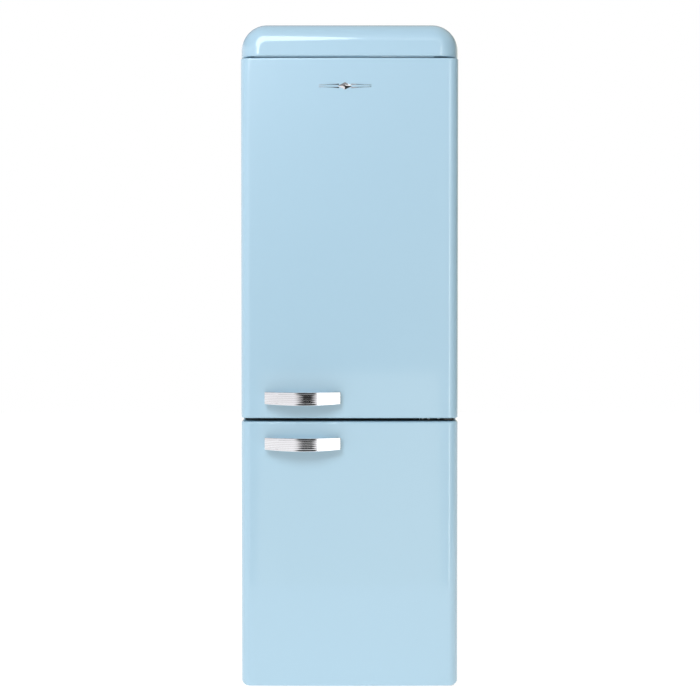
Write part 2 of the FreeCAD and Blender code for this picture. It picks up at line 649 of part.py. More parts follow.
def freezer_drawer(y0, y1, z0, z1):
    """Deep drawer with a thick front and a grip rail along its top edge."""
    tray = open_tray(DRAWER_HALF - 4, y0 + DRAWER_FRONT - DRAWER_WALL, y1, z0, z1 - 18, DRAWER_WALL, 10.0)
    front = box(-DRAWER_HALF, DRAWER_HALF, y0, y0 + DRAWER_FRONT, z0, z1)
    front = front.makeFillet(3, edges_along(front, (0, 1, 0)))
    scoop = box(-80, 80, y0 - 1, y0 + 5, z1 - 50, z1 - 16)
    scoop = scoop.makeFillet(10, edges_along(scoop, (0, 1, 0)))
    return union([tray, front.cut(scoop)])


def control_housing():
    """Moulded box under the ceiling for the thermostat, the lamp and the door switch."""
    half, y0, y1, z0 = CONTROL
    wall, corner = 3.0, 12.0
    outer = rounded_plate(-half, half, y0, y1, z0, FRIDGE_Z[1], corner)
    inner = box(-half + wall, half - wall, y0 + wall, y1 - wall, z0 + wall, FRIDGE_Z[1] - wall)
    shell = outer.cut(inner)
    collar = cylinder((PLUNGER_X, y0 - 6, CONTROL_Z), (0, 1, 0), PLUNGER_R + 4, 9)
    shell = union([shell, collar])
    for x, radius in ((KNOB_X, 3.0), (PLUNGER_X, PLUNGER_R)):
        shell = shell.cut(cylinder((x, y0 - 8, CONTROL_Z), (0, 1, 0), radius + 0.1, 14))
    return shell


def lamp_lens():
    """Clear cover under the control box."""
    z = CONTROL[3]
    lens = box(-130, 30, -150, -45, z - 9, z)
    return lens.makeFillet(7, [e for e in lens.Edges if e.CenterOfMass.z < z - 1])


def thermostat_knob():
    y = CONTROL[1] - MOVING_GAP
    disc = cylinder((KNOB_X, y, CONTROL_Z), (0, -1, 0), KNOB_R, 6)
    grip = box(KNOB_X - 4, KNOB_X + 4, y - 14, y - 5, CONTROL_Z - KNOB_R + 1, CONTROL_Z + KNOB_R - 1)
    shaft = cylinder((KNOB_X, y, CONTROL_Z), (0, 1, 0), 3.0, 14)
    return union([disc, grip, shaft])


def switch_plunger():
    """Push rod of the lamp switch. It sticks out of the collar and meets the door liner."""
    tip = DOOR_BACK_Y + FRIDGE_PLUG + 0.5
    rod = cylinder((PLUNGER_X, tip, CONTROL_Z), (0, 1, 0), PLUNGER_R, CONTROL[1] + 14 - tip)
    return rod.makeFillet(1.2, [e for e in rod.Edges if e.CenterOfMass.y < tip + 0.1])


# ---- Cooling circuit -------------------------------------------------------------------------
def drain_tube():
    """Carries thaw water from the back of the fridge liner down to the tray."""
    return tube(DRAIN_ROUTE, DRAIN_R, DRAIN_BEND, DRAIN_R - 1.5)


def serpentine(runs, half, point):
    """Points of a tube that goes to and fro, starting at +half. point(x, run) places one of them."""
    points = []
    for i, run in enumerate(runs):
        ends = (half, -half) if i % 2 == 0 else (-half, half)
        points += [point(x, run) for x in ends]
    return points


def freezer_evaporator():
    """Three cold shelves of tube, joined by two risers at the back."""
    runs = [-150.0 + 50.0 * i for i in range(8)]
    solids = [tube(serpentine(runs, 205, lambda x, y, z=z: (x, y, z)), EVAPORATOR_R, 24.9)
              for z in EVAPORATOR_Z]
    for x, z0, z1 in ((-190, *EVAPORATOR_Z[:2]), (190, *EVAPORATOR_Z[1:])):
        solids.append(cylinder((x, runs[-1], z0 + EVAPORATOR_R), (0, 0, 1), 3, z1 - z0 - 2 * EVAPORATOR_R))
    return group(solids)


def fridge_evaporator():
    """Cold plate bonded to the back of the fridge liner, buried in the foam."""
    y = FRIDGE_BACK_Y + LINER
    return box(-180, 180, y, y + 1.5, 1060, 1600)


def condenser_runs():
    low, high = CONDENSER_Z
    count = int(round((high - low) / CONDENSER_PITCH)) + 1
    return [low + CONDENSER_PITCH * i for i in range(count)]


def condenser_tube():
    points = serpentine(condenser_runs(), CONDENSER_HALF, lambda x, z: (x, CONDENSER_Y, z))
    return tube(points, CONDENSER_TUBE_R, CONDENSER_PITCH / 2 - 0.1)


def wire_places():
    count = 2 * int((CONDENSER_HALF - CONDENSER_PITCH / 2 + WIRE_PITCH / 2) / WIRE_PITCH)
    return [(i - count / 2 + 0.5) * WIRE_PITCH for i in range(count)]


def condenser_wires():
    """Upright wires welded to both faces of the tube."""
    wires, length = [], CONDENSER_Z[1] - CONDENSER_Z[0] + 30
    for x in wire_places():
        for side in (-1, 1):
            y = CONDENSER_Y + side * (CONDENSER_TUBE_R + WIRE_R)
            wires.append(cylinder((x, y, CONDENSER_Z[0] - 15), (0, 0, 1), WIRE_R, length))
    return group(wires)


def condenser_brackets():
    """Four stand-offs that hold the condenser clear of the back panel."""
    places = wire_places()
    x = (places[-1] + places[-2]) / 2
    runs = condenser_runs()
    y1 = CONDENSER_Y - CONDENSER_TUBE_R
    blocks = [box(x - 8, x + 8, CAB_BACK_Y, y1, z - 12, z + 12) for z in (runs[1], runs[-2])]
    return group([solid for block in blocks for solid in both_sides(block)])


def compressor():
    """Welded steel shell with its seam, and the plate that it stands on."""
    x, y, z = COMPRESSOR
    r, h = COMPRESSOR_R, COMPRESSOR_H
    low, high = 34.0, h - 38.0          # where the side is straight
    seam, flange, crown = h * 0.52, 4.0, 22.0

    def at(radius, height):
        return Vector(x + radius, y, z + height)

    def quarter(a, b, centre_h, corner_r, rise):
        bend = math.sqrt(0.5)
        middle = at(corner_r + (r - corner_r) * bend, centre_h + rise * bend)
        return Part.Arc(a, middle, b)
    points = [at(0, 0), at(crown, 0), at(r, low), at(r, seam - 3), at(r + flange, seam - 3),
              at(r + flange, seam + 3), at(r, seam + 3), at(r, high), at(crown, h), at(0, h)]
    edges = [Part.LineSegment(points[0], points[1]), quarter(points[1], points[2], low, crown, -low)]
    edges += [Part.LineSegment(a, b) for a, b in zip(points[2:], points[3:8])]
    edges += [quarter(points[7], points[8], high, crown, h - high), Part.LineSegment(points[8], points[9]),
              Part.LineSegment(points[9], points[0])]
    profile = Part.Face(Part.Wire([edge.toShape() for edge in edges]))
    shell = profile.revolve(Vector(x, y, 0), Vector(0, 0, 1), 360)
    plate = rounded_plate(x - 92, x + 92, y - 60, y + 60, z, z + PLATE, 12)
    solid = union([shell, plate])
    for hole in compressor_feet(z - 1, 6, 5.0):
        solid = solid.cut(hole)
    return solid


def compressor_feet(z, height, radius):
    x, y, _ = COMPRESSOR
    return [cylinder((x + sx * 80, y + sy * 46, z), (0, 0, 1), radius, height)
            for sx in (-1, 1) for sy in (-1, 1)]


def machine_side_plates():
    """Stiffeners inside the side sheets, beside the machine compartment."""
    plate = box(INNER_HALF - STIFFENER, INNER_HALF, MACHINE_Y, CAB_BACK_Y - 2, BASE_Z, MACHINE_Z)
    return group(both_sides(plate))


def compressor_base():
    return box(-INNER_HALF + STIFFENER, INNER_HALF - STIFFENER, MACHINE_Y, CAB_BACK_Y - 2, BASE_Z,
               BASE_Z + BASE_PLATE)


def compressor_grommets():
    """Rubber feet under the compressor plate, each with a neck through the plate and a collar above."""
    z0, plate_z = BASE_Z + BASE_PLATE, COMPRESSOR[2]
    lower = compressor_feet(z0, plate_z - z0, 11.0)
    neck = compressor_feet(plate_z, PLATE, 5.0)
    collar = compressor_feet(plate_z + PLATE, 4, 8.0)
    return group([union(list(parts)) for parts in zip(lower, neck, collar)])


def terminal_cover():
    """Box over the compressor's terminals and starter, on its -X side."""
    x, y, z = COMPRESSOR
    cover = box(x - COMPRESSOR_R - 40, x - COMPRESSOR_R + 14, y - 34, y + 34, z + 22, z + 74)
    cover = cover.makeFillet(5, edges_along(cover, (0, 0, 1)))
    return cover.cut(compressor_shell())


def evaporating_tray():
    """Tray on top of the compressor, where its warmth dries the thaw water."""
    x, y, _ = COMPRESSOR
    left, right, half, wall, corner = x - 90, x + 130, 74.0, 2.0, 14.0
    tray = rounded_plate(left, right, y - half, y + half, *TRAY_Z, corner)
    hollow = rounded_plate(left + wall, right - wall, y - half + wall, y + half - wall, TRAY_Z[0] + wall,
                           TRAY_Z[1] + 1, corner - wall)
    tray = tray.cut(hollow)
    shell_top = COMPRESSOR[2] + COMPRESSOR_H
    foot = cylinder((x, y, shell_top), (0, 0, 1), 20, TRAY_Z[0] - shell_top)
    return union([tray, foot])


def compressor_shell():
    x, y, z = COMPRESSOR
    return cylinder((x, y, z), (0, 0, 1), COMPRESSOR_R, COMPRESSOR_H)


def discharge_tube():
    """Hot gas: from the compressor up beside the condenser and into its top run."""
    x, y, z = COMPRESSOR
    x0, z0, riser_x = x - 40, z + 40, -CONDENSER_HALF - 25
    top = condenser_runs()[-1]
    points = [(x0, y + 50, z0), (x0, CONDENSER_Y, z0), (riser_x, CONDENSER_Y, z0),
              (riser_x, CONDENSER_Y, top), (-CONDENSER_HALF, CONDENSER_Y, top)]
    return tube(points, CONDENSER_TUBE_R, 12.0).cut(compressor_shell())


def liquid_tube():
    """Warm liquid: from the condenser's bottom run to the top of the filter drier."""
    x, y, z0, z1 = DRIER
    down_x, low = CONDENSER_HALF + 25, condenser_runs()[0]
    points = [(CONDENSER_HALF, CONDENSER_Y, low), (down_x, CONDENSER_Y, low), (down_x, CONDENSER_Y, z1 + 22),
              (down_x, y, z1 + 22), (x, y, z1 + 22), (x, y, z1)]
    return tube(points, 2.5, 10.0)


def filter_drier():
    """Copper filter in the liquid line, with the capillary that leaves it for the cabinet."""
    x, y, z0, z1 = DRIER
    body = cylinder((x, y, z0), (0, 0, 1), 9, z1 - z0)
    body = body.makeFillet(6, [e for e in body.Edges if isinstance(e.Curve, Part.Circle)])
    capillary = tube([(x, y, z0 + 1), (x, y, z0 - 25), (x, y - 40, z0 - 25), (x, y - 40, MACHINE_Z)], 1.2, 6.0)
    return union([body, capillary])


def suction_tube():
    """Cold return gas: from the ceiling of the machine compartment to the compressor."""
    x, y, z = COMPRESSOR
    points = [(220, 170, MACHINE_Z), (220, 170, z + 95), (x + COMPRESSOR_R / 2, 170, z + 95)]
    return tube(points, 4.0, 16.0).cut(compressor_shell())


def cord_gland():
    """Moulded block at the back of the machine compartment, with the bore that a mains lead passes through."""
    y0, y1, z0 = CAB_BACK_Y - 24, CAB_BACK_Y - 4, BASE_Z + BASE_PLATE
    block = rounded_plate(218, 242, y0, y1, z0, z0 + 24, 4)
    return block.cut(cylinder((230, y0 - 1, z0 + 12), (0, 1, 0), 4.0, 22))


# ---- Build and export ------------------------------------------------------------------------
def build():
    """Every node of the refrigerator by name."""
    fridge_door, freezer_door = door_block(FRIDGE_DOOR_Z), door_block(FREEZER_DOOR_Z)
    fridge_door_liner = door_liner(FRIDGE_DOOR_Z, FRIDGE_Z, FRIDGE_PLUG, True)
    freezer_door_liner = door_liner(FREEZER_DOOR_Z, FREEZER_Z, FREEZER_PLUG, False)
    cold_plate = fridge_evaporator()
    nodes = {
        "cabinet_wrap": cabinet_wrap(), "base_pan": base_pan(), "back_panel": back_panel(),
        "cabinet_foam": cabinet_foam(cold_plate),
        "fridge_liner": fridge_liner(), "freezer_liner": freezer_liner(), "top_cap": top_cap(),
        "top_hinge": top_hinge(), "middle_hinge": middle_hinge(), "bottom_hinge": bottom_hinge(),
        "hinge_screws": hinge_screws(), "roller_brackets": roller_brackets(),
        "shelf_trims": shelf_trims(SHELF_Z + (CRISPER_COVER_Z,)), "crisper_cover": shelf_glass(CRISPER_COVER_Z),
        "control_housing": control_housing(), "lamp_lens": lamp_lens(),
        "freezer_evaporator": freezer_evaporator(), "fridge_evaporator": cold_plate, "drain_tube": drain_tube(),
        "condenser_tube": condenser_tube(), "condenser_wires": condenser_wires(),
        "condenser_brackets": condenser_brackets(), "compressor": compressor(),
        "compressor_base": compressor_base(), "compressor_grommets": compressor_grommets(),
        "terminal_cover": terminal_cover(), "evaporating_tray": evaporating_tray(),
        "filter_drier": filter_drier(),
        "refrigerant_tubes": group([discharge_tube(), liquid_tube(), suction_tube()]),
        "cord_gland": cord_gland(), "machine_side_plates": machine_side_plates(),
        "fridge_door_skin": door_skin(FRIDGE_DOOR_Z), "fridge_door_end_caps": door_end_caps(FRIDGE_DOOR_Z),
        "fridge_door_liner": fridge_door_liner,
        "fridge_door_foam": door_foam(FRIDGE_DOOR_Z, FRIDGE_Z, FRIDGE_PLUG, True, fridge_door_liner),
        "fridge_door_gasket": door_gasket(FRIDGE_DOOR_Z, 10, 8),
        "fridge_handle": handle(FRIDGE_HANDLE_Z, fridge_door), "badge": badge(fridge_door),
        "freezer_door_skin": door_skin(FREEZER_DOOR_Z), "freezer_door_end_caps": door_end_caps(FREEZER_DOOR_Z),
        "freezer_door_liner": freezer_door_liner,
        "freezer_door_foam": door_foam(FREEZER_DOOR_Z, FREEZER_Z, FREEZER_PLUG, False, freezer_door_liner),
        "freezer_door_gasket": door_gasket(FREEZER_DOOR_Z, 46, 7.5),
        "freezer_handle": handle(FREEZER_HANDLE_Z, freezer_door),
        "crisper_drawer": crisper_drawer(), "thermostat_knob": thermostat_knob(),
        "switch_plunger": switch_plunger(),
        "front_foot_right": front_foot(1), "front_foot_left": front_foot(-1),
        "rear_roller_right": rear_roller(1), "rear_roller_left": rear_roller(-1),
    }
    for i, z in enumerate(SHELF_Z, 1):
        nodes[f"shelf_{i}"] = shelf_glass(z)
    for name, (z, height) in BALCONIES.items():
        nodes[name] = balcony(z, height)
    for name, (y0, y1, z0, z1) in FREEZER_DRAWERS.items():
        nodes[name] = freezer_drawer(y0, y1, z0, z1)
    return nodes


def main():
    os.makedirs("parts", exist_ok=True)
    for name, shape in build().items():
        shape.exportStep(f"parts/{name}.step")
        print(f"{name:26s} solids {len(shape.Solids):3d}  volume {shape.Volume / 1000:10.1f} cm3"
              f"  valid {shape.isValid()}")


main()
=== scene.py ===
# %% [markdown]
# # A retro refrigerator with its freezer below
# Sheet steel, vacuum-formed plastic, chrome and glass, round a cabinet filled with foam.
# The imported model gives every hinge, drawer and tube its place. Here the visible skins are
# worked out again as smooth surfaces, and every piece gets the finish of its real material,
# while a few dark pieces also paint shade into the gaps between the doors.

# %% Load the imported model
import json
import math

import bmesh
import bpy
import numpy as np
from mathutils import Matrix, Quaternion, Vector


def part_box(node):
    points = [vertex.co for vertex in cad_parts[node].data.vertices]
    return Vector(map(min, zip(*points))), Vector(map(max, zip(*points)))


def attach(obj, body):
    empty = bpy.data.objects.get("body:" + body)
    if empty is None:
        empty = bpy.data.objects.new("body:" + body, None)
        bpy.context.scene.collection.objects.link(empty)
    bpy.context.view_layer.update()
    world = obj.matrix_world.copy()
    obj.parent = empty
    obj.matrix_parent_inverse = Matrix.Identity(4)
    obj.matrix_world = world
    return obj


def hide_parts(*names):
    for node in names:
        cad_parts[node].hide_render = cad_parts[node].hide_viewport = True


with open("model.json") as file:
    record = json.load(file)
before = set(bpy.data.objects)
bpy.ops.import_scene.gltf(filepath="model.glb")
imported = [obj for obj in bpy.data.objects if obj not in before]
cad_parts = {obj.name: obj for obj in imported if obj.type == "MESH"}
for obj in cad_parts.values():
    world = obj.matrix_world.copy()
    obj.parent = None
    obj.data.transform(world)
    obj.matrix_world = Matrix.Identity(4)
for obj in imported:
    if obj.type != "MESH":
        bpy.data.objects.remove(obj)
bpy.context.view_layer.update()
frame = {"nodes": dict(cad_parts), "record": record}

# %% [markdown]
# ## Lengths
# The shapes are written in millimetres, because that is how such sheets are drawn. Blender
# counts in metres, so one factor converts them when a mesh is made. Places come from the
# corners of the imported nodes.

# %% Millimetres, and the corners of a node
MM = 0.001


def corners(node):
    """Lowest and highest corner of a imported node, in millimetres."""
    low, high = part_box(node)
    return np.array(low) / MM, np.array(high) / MM


door_low, door_high = corners("fridge_door_skin")
HALF_WIDTH = door_high[0]
DOOR_FRONT, DOOR_BACK = door_low[1], door_high[1]
CABINET_FRONT = corners("cabinet_wrap")[0][1]
print("door front", DOOR_FRONT, "door back", DOOR_BACK, "half width", HALF_WIDTH)

# %% [markdown]
# ## Outlines
# Most housings are a closed outline carried along a direction. An outline is made of a few
# corners joined by straight lines and arcs, so two helpers are enough: one for an arc, and
# one that rounds the corners of any path.

# %% Arcs and rounded paths
def arc(centre, radius, start, end, steps):
    """Points of an arc: the centre plus the radius times (cosine, sine) of angles in degrees."""
    angle = np.radians(np.linspace(start, end, steps))
    return np.array(centre) + radius * np.column_stack([np.cos(angle), np.sin(angle)])


def rounded_rectangle(x0, x1, y0, y1, radius, steps=8):
    """Closed outline, anticlockwise: four quarter circles, which straight lines join."""
    left, right, low, high = x0 + radius, x1 - radius, y0 + radius, y1 - radius
    centres = ((right, high), (left, high), (left, low), (right, low))
    return np.vstack([arc(centre, radius, 90 * turn, 90 * turn + 90, steps)
                      for turn, centre in enumerate(centres)])


def rounded_path(corner_points, radius, steps=5, closed=False):
    """A path with rounded corners: each one becomes a quadratic curve that starts a radius away."""
    points = np.array(corner_points, float)
    count = len(points)
    t = np.linspace(0, 1, steps)[:, None]
    pieces = []
    for i in range(count):
        if not closed and i in (0, count - 1):
            pieces.append(points[i:i + 1])
            continue
        before, corner, after = points[i - 1], points[i], points[(i + 1) % count]
        to_before, to_after = before - corner, after - corner
        reach = min(radius, np.linalg.norm(to_before) * 0.45, np.linalg.norm(to_after) * 0.45)
        start = corner + to_before / np.linalg.norm(to_before) * reach
        end = corner + to_after / np.linalg.norm(to_after) * reach
        pieces.append((1 - t) ** 2 * start + 2 * t * (1 - t) * corner + t ** 2 * end)
    return np.vstack(pieces)


# %% [markdown]
# ## Skins
# A row of closed rings of the same length is the simplest closed skin: quads join each ring
# to the next, and a flat face closes each end. A relief is the other kind: a grid of heights
# with a flat back, like a sheet that was pressed or drawn over a mould.

# %% Skins over rings and over grids
def lofted(rings, endless=False):
    """Quads between neighbouring rings. One face closes each end, or the ends join each other."""
    rings = np.asarray(rings, float)
    count, around = rings.shape[:2]
    index = np.arange(count * around).reshape(count, around)
    here, there = (index, np.roll(index, -1, 0)) if endless else (index[:-1], index[1:])
    quads = np.stack([here, np.roll(here, -1, 1), np.roll(there, -1, 1), there], -1)
    ends = [] if endless else [index[0, ::-1].tolist(), index[-1].tolist()]
    return rings.reshape(-1, 3), quads.reshape(-1, 4).tolist() + ends


def relief(x, z, y, back):
    """Grid of depths y over the lines x and z, with straight edges to a flat back at one depth."""
    rows, columns = len(z), len(x)
    grid_x, grid_z = np.meshgrid(x, z)
    front = np.stack([grid_x, y, grid_z], -1).reshape(-1, 3)
    index = np.arange(rows * columns).reshape(rows, columns)
    quads = np.stack([index[:-1, :-1], index[:-1, 1:], index[1:, 1:], index[1:, :-1]], -1)
    rim = np.concatenate([index[0, :-1], index[:-1, -1], index[-1, :0:-1], index[:0:-1, 0]])
    behind = front[rim].copy()
    behind[:, 1] = back
    back_index = np.arange(len(rim)) + len(front)
    sides = np.stack([rim, back_index, np.roll(back_index, -1), np.roll(rim, -1)], -1).tolist()
    faces = quads.reshape(-1, 4).tolist() + sides + [back_index.tolist()]
    return np.vstack([front, behind]), faces


def level(outline, z):
    """An outline of (x, y) points at one height."""
    return np.column_stack([outline, np.full(len(outline), z)])


def upright(outline, y):
    """An outline of (x, z) points at one depth."""
    return np.column_stack([outline[:, 0], np.full(len(outline), y), outline[:, 1]])


SAME_POINT = 1e-7        # metres


def new_object(name, data):
    made = bpy.data.objects.new(name, data)
    bpy.context.scene.collection.objects.link(made)
    return made


def add_piece(name, skins, finish, body, replaces=(), crease=32):
    """One object from closed skins in millimetres. A skin with a negative volume is turned outwards."""
    mesh = bpy.data.meshes.new(name)
    merged = bmesh.new()
    for points, faces in skins:
        part = bpy.data.meshes.new("part")
        part.from_pydata((points * MM).tolist(), [], faces)
        shell = bmesh.new()
        shell.from_mesh(part)
        bmesh.ops.remove_doubles(shell, verts=shell.verts, dist=SAME_POINT)
        if shell.calc_volume(signed=True) < 0:
            bmesh.ops.reverse_faces(shell, faces=shell.faces)
        shell.to_mesh(part)
        shell.free()
        merged.from_mesh(part)
        bpy.data.meshes.remove(part)
    merged.to_mesh(mesh)
    merged.free()
    mesh.shade_smooth()
    mesh.set_sharp_from_angle(angle=math.radians(crease))
    mesh.materials.append(finish)
    piece = new_object(name, mesh)
    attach(piece, body)
    if replaces:
        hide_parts(*replaces)


# %% [markdown]
# ## Finishes
# Every material starts from the real one and from how its surface was made. Colours are
# written as sRGB hex values, the way a paint chart gives them, and one function turns them
# to the linear values that light is counted in. Patterns are given by their real size, so a
# small function turns millimetres to the scale of a texture in metres.

# %% Colour, size and node helpers
def linear(code, alpha=1.0):
    """sRGB hex to linear: (c / 12.92) when dark, otherwise ((c + 0.055) / 1.055) to the power 2.4."""
    values = np.array([int(code[i:i + 2], 16) / 255 for i in (1, 3, 5)])
    values = np.where(values <= 0.04045, values / 12.92, ((values + 0.055) / 1.055) ** 2.4)
    return (*values.tolist(), alpha)


def per_metre(size_mm):
    """Texture scale for features of a size in millimetres."""
    return 1000.0 / size_mm


def add_node(tree, kind, inputs=None, **settings):
    """Adds a node, sets its properties, and fills its inputs with values or links them to sockets."""
    node = tree.nodes.new(kind)
    for name, value in settings.items():
        setattr(node, name, value)
    for key, value in (inputs or {}).items():
        if isinstance(value, bpy.types.NodeSocket):
            tree.links.new(value, node.inputs[key])
        else:
            node.inputs[key].default_value = value
    return node


def new_finish(name, **sockets):
    """A material with one Principled shader: gives the material, tree, shader and Object coordinates."""
    made = bpy.data.materials.new(name)
    made.use_nodes = True
    tree = made.node_tree
    shader = tree.nodes["Principled BSDF"]
    for key, value in sockets.items():
        shader.inputs[key.replace("_", " ")].default_value = value
    place = add_node(tree, "ShaderNodeTexCoord").outputs["Object"]
    return made, tree, shader, place


def blend_colours(tree, factor, first, second):
    """A colour ramp from one hex colour to another."""
    ramp = add_node(tree, "ShaderNodeValToRGB", {"Fac": factor})
    ramp.color_ramp.elements[0].color = linear(first)
    ramp.color_ramp.elements[1].color = linear(second)
    return ramp.outputs["Color"]


def spread(tree, value, low, high):
    """Stretches a value between 0 and 1 over a new range."""
    stretched = add_node(tree, "ShaderNodeMapRange", {"Value": value, "To Min": low, "To Max": high})
    return stretched.outputs["Result"]


def noise(tree, place, size_mm, detail):
    """Cloudy values between 0 and 1, whose features have a size in millimetres."""
    cloud = add_node(tree, "ShaderNodeTexNoise",
                     {"Vector": place, "Scale": per_metre(size_mm), "Detail": detail})
    return cloud.outputs["Fac"]


def colour_from(tree, shader, factor, first, second):
    tree.links.new(blend_colours(tree, factor, first, second), shader.inputs["Base Color"])


def roughness_from(tree, shader, factor, low, high):
    tree.links.new(spread(tree, factor, low, high), shader.inputs["Roughness"])


# %% [markdown]
# ### Stoved enamel on steel
# The doors, the cap and the sides are sprayed and stoved. The paint levels almost flat, but
# a faint orange peel stays in it, a few millimetres from crest to crest. A clear glossy
# layer lies over the colour. Broad drifts of one or two percent keep a large door from
# looking printed.

# %% Sky blue enamel
DRIFT_MM, GRIME_MM = 700, 120
PEEL_MM = 6              # real orange peel is 1 to 3 mm across: it is drawn larger so that it shows
PEEL_DEPTH = 0.00003     # metres


def enamel(name, light, dark):
    made, tree, shader, place = new_finish(name, Roughness=0.42, Coat_Weight=1.0, Coat_Roughness=0.06,
                                           Coat_IOR=1.5)
    drift = noise(tree, place, DRIFT_MM, 2.0)
    colour_from(tree, shader, drift, dark, light)
    peel = noise(tree, place, PEEL_MM, 1.0)
    bump = add_node(tree, "ShaderNodeBump", {"Height": peel, "Distance": PEEL_DEPTH, "Strength": 0.35})
    tree.links.new(bump.outputs["Normal"], shader.inputs["Coat Normal"])
    grime = noise(tree, place, GRIME_MM, 4.0)
    roughness_from(tree, shader, grime, 0.38, 0.48)
    return made


sky_enamel = enamel("sky_blue_stoved_enamel", "#a9cadb", "#a5c7d9")

# %% [markdown]
# ### Chromed zinc
# Handles and ornament are die-cast zinc, polished and plated. Chrome is a mirror with a
# cool tint. Handling leaves faint hazy patches, which only change its roughness.

# %% Chrome plate
HAZE_MM = 25


def chrome():
    made, tree, shader, place = new_finish("chrome_plated_zinc", Metallic=1.0)
    shader.inputs["Base Color"].default_value = linear("#eceef0")
    haze = noise(tree, place, HAZE_MM, 5.0)
    roughness_from(tree, shader, haze, 0.03, 0.11)
    return made


chrome_plate = chrome()

# %% [markdown]
# ### Galvanised sheet
# The back and the base are hot-dip galvanised. Zinc freezes into crystals about a
# centimetre across, the spangle, and each crystal mirrors the light a little differently.

# %% Galvanised sheet and hinge steel
def galvanised(name, low, high, spangle_mm, rough):
    made, tree, shader, place = new_finish(name, Metallic=0.9)
    # straight crystal borders look drawn, so a little noise is mixed into the coordinates first
    wobble = add_node(tree, "ShaderNodeTexNoise",
                      {"Vector": place, "Scale": per_metre(spangle_mm * 0.8)}).outputs["Color"]
    shifted = add_node(tree, "ShaderNodeMix", {"Factor": 0.012, "A": place, "B": wobble},
                       data_type="VECTOR")
    crystal = add_node(tree, "ShaderNodeTexVoronoi",
                       {"Vector": shifted.outputs[1], "Scale": per_metre(spangle_mm)})
    shade = add_node(tree, "ShaderNodeSeparateColor", {"Color": crystal.outputs["Color"]}).outputs["Red"]
    colour_from(tree, shader, shade, low, high)
    roughness_from(tree, shader, shade, rough - 0.08, rough + 0.1)
    return made


zinc_sheet = galvanised("galvanised_sheet", "#8f979c", "#b4babd", 11, 0.42)
hinge_steel = galvanised("zinc_plated_hinge_steel", "#b9bcbe", "#d6d8d9", 3, 0.3)

# %% [markdown]
# ### Moulded and formed plastics
# The inner tubs are polystyrene sheet, drawn hot over a mould, so they are smooth with a
# soft gloss. Small mouldings have an eroded grain that scatters light. Both are the same
# recipe with other numbers: a colour that drifts a little, and a fine bump.

# %% Opaque plastics and rubber
MOULD_DRIFT_MM = 90


def moulded(name, light, dark, rough, grain_mm, grain_depth_mm, **sockets):
    made, tree, shader, place = new_finish(name, **sockets)
    drift = noise(tree, place, MOULD_DRIFT_MM, 3.0)
    colour_from(tree, shader, drift, dark, light)
    grain = noise(tree, place, grain_mm, 2.0)
    bump = add_node(tree, "ShaderNodeBump",
                    {"Height": grain, "Distance": grain_depth_mm * MM, "Strength": 0.6})
    tree.links.new(bump.outputs["Normal"], shader.inputs["Normal"])
    roughness_from(tree, shader, grain, rough - 0.05, rough + 0.06)
    return made


sky_moulding = moulded("moulded_sky_blue_abs", "#a9c8d5", "#a2c1cf", 0.42, 1.6, 0.05)
white_liner = moulded("formed_white_polystyrene", "#f4f6f6", "#eef1f2", 0.32, 5.0, 0.03,
                      Coat_Weight=0.25)
white_moulding = moulded("moulded_white_abs", "#f3f4f3", "#eceeee", 0.4, 1.6, 0.05)
black_moulding = moulded("moulded_black_abs", "#26282a", "#1c1e20", 0.5, 1.4, 0.08)
# grey vinyl, darker than a gasket's usual grey, so that it also paints shade into the gaps between the doors
gasket_vinyl_and_gap_shade = moulded("extruded_grey_vinyl", "#3b4042", "#303436", 0.55, 2.0, 0.03)
black_rubber = moulded("moulded_black_rubber", "#1d1d1e", "#151516", 0.75, 2.2, 0.08)
foam_core = moulded("blown_polyurethane_foam", "#e9dba6", "#cdb878", 0.9, 1.5, 0.5)
# black dip paint of the compressor and condenser; on the middle hinge the same black paints the shade of the
# gap between the doors
black_paint_and_gap_shade = moulded("dip_painted_black_steel", "#232527", "#17181a", 0.36, 3.0, 0.03, Coat_Weight=0.4)
coated_white = moulded("plastic_coated_white_tube", "#e9ecee", "#dde2e5", 0.38, 4.0, 0.05)

# %% [markdown]
# ### Clear pieces
# Drawers and door shelves are moulded from clear polystyrene, slightly frosted so that
# scratches don't show. Shelves are tempered float glass, which iron makes faintly green.

# %% Clear polystyrene and glass
def clear(name, tint, index, clearness, low, high, cloud_mm):
    made, tree, shader, place = new_finish(name, IOR=index, Transmission_Weight=clearness)
    shader.inputs["Base Color"].default_value = linear(tint)
    roughness_from(tree, shader, noise(tree, place, cloud_mm, 3.0), low, high)
    return made


clear_polystyrene = clear("frosted_clear_polystyrene", "#f0f8fc", 1.35, 0.82, 0.12, 0.3, 12)
lamp_polystyrene = clear("opal_lamp_polystyrene", "#f7fbfd", 1.4, 0.6, 0.35, 0.5, 6)
shelf_glass = clear("tempered_float_glass", "#e6f5ee", 1.45, 1.0, 0.0, 0.03, 60)

# %% [markdown]
# ### Copper and aluminium
# The cooling circuit is drawn copper tube. Its bright surface has darkened unevenly.

# %% Drawn metals
TARNISH_MM = 18


def drawn_metal(name, bright, dull, rough):
    made, tree, shader, place = new_finish(name, Metallic=1.0)
    tarnish = noise(tree, place, TARNISH_MM, 6.0)
    colour_from(tree, shader, tarnish, dull, bright)
    roughness_from(tree, shader, tarnish, rough + 0.15, rough - 0.05)
    return made


copper_tube = drawn_metal("drawn_copper", "#d98e62", "#8a5136", 0.3)
aluminium_sheet = drawn_metal("rolled_aluminium", "#d6d9db", "#b9bdc0", 0.35)

# %% [markdown]
# ## Doors
# A door is a steel tray with a foamed core. Its plan is almost a rectangle: the front bulges
# by three millimetres, so that reflections stay calm, and the two front corners turn on a
# radius of 27 mm. The same outline is carried upwards. Near each end it draws inwards along
# a quarter circle, which rounds the horizontal edges. The rounding fades out towards the
# back, where the door has to meet its gasket squarely. The freezer door's bottom corners are
# rounder than the others, seen from the front.

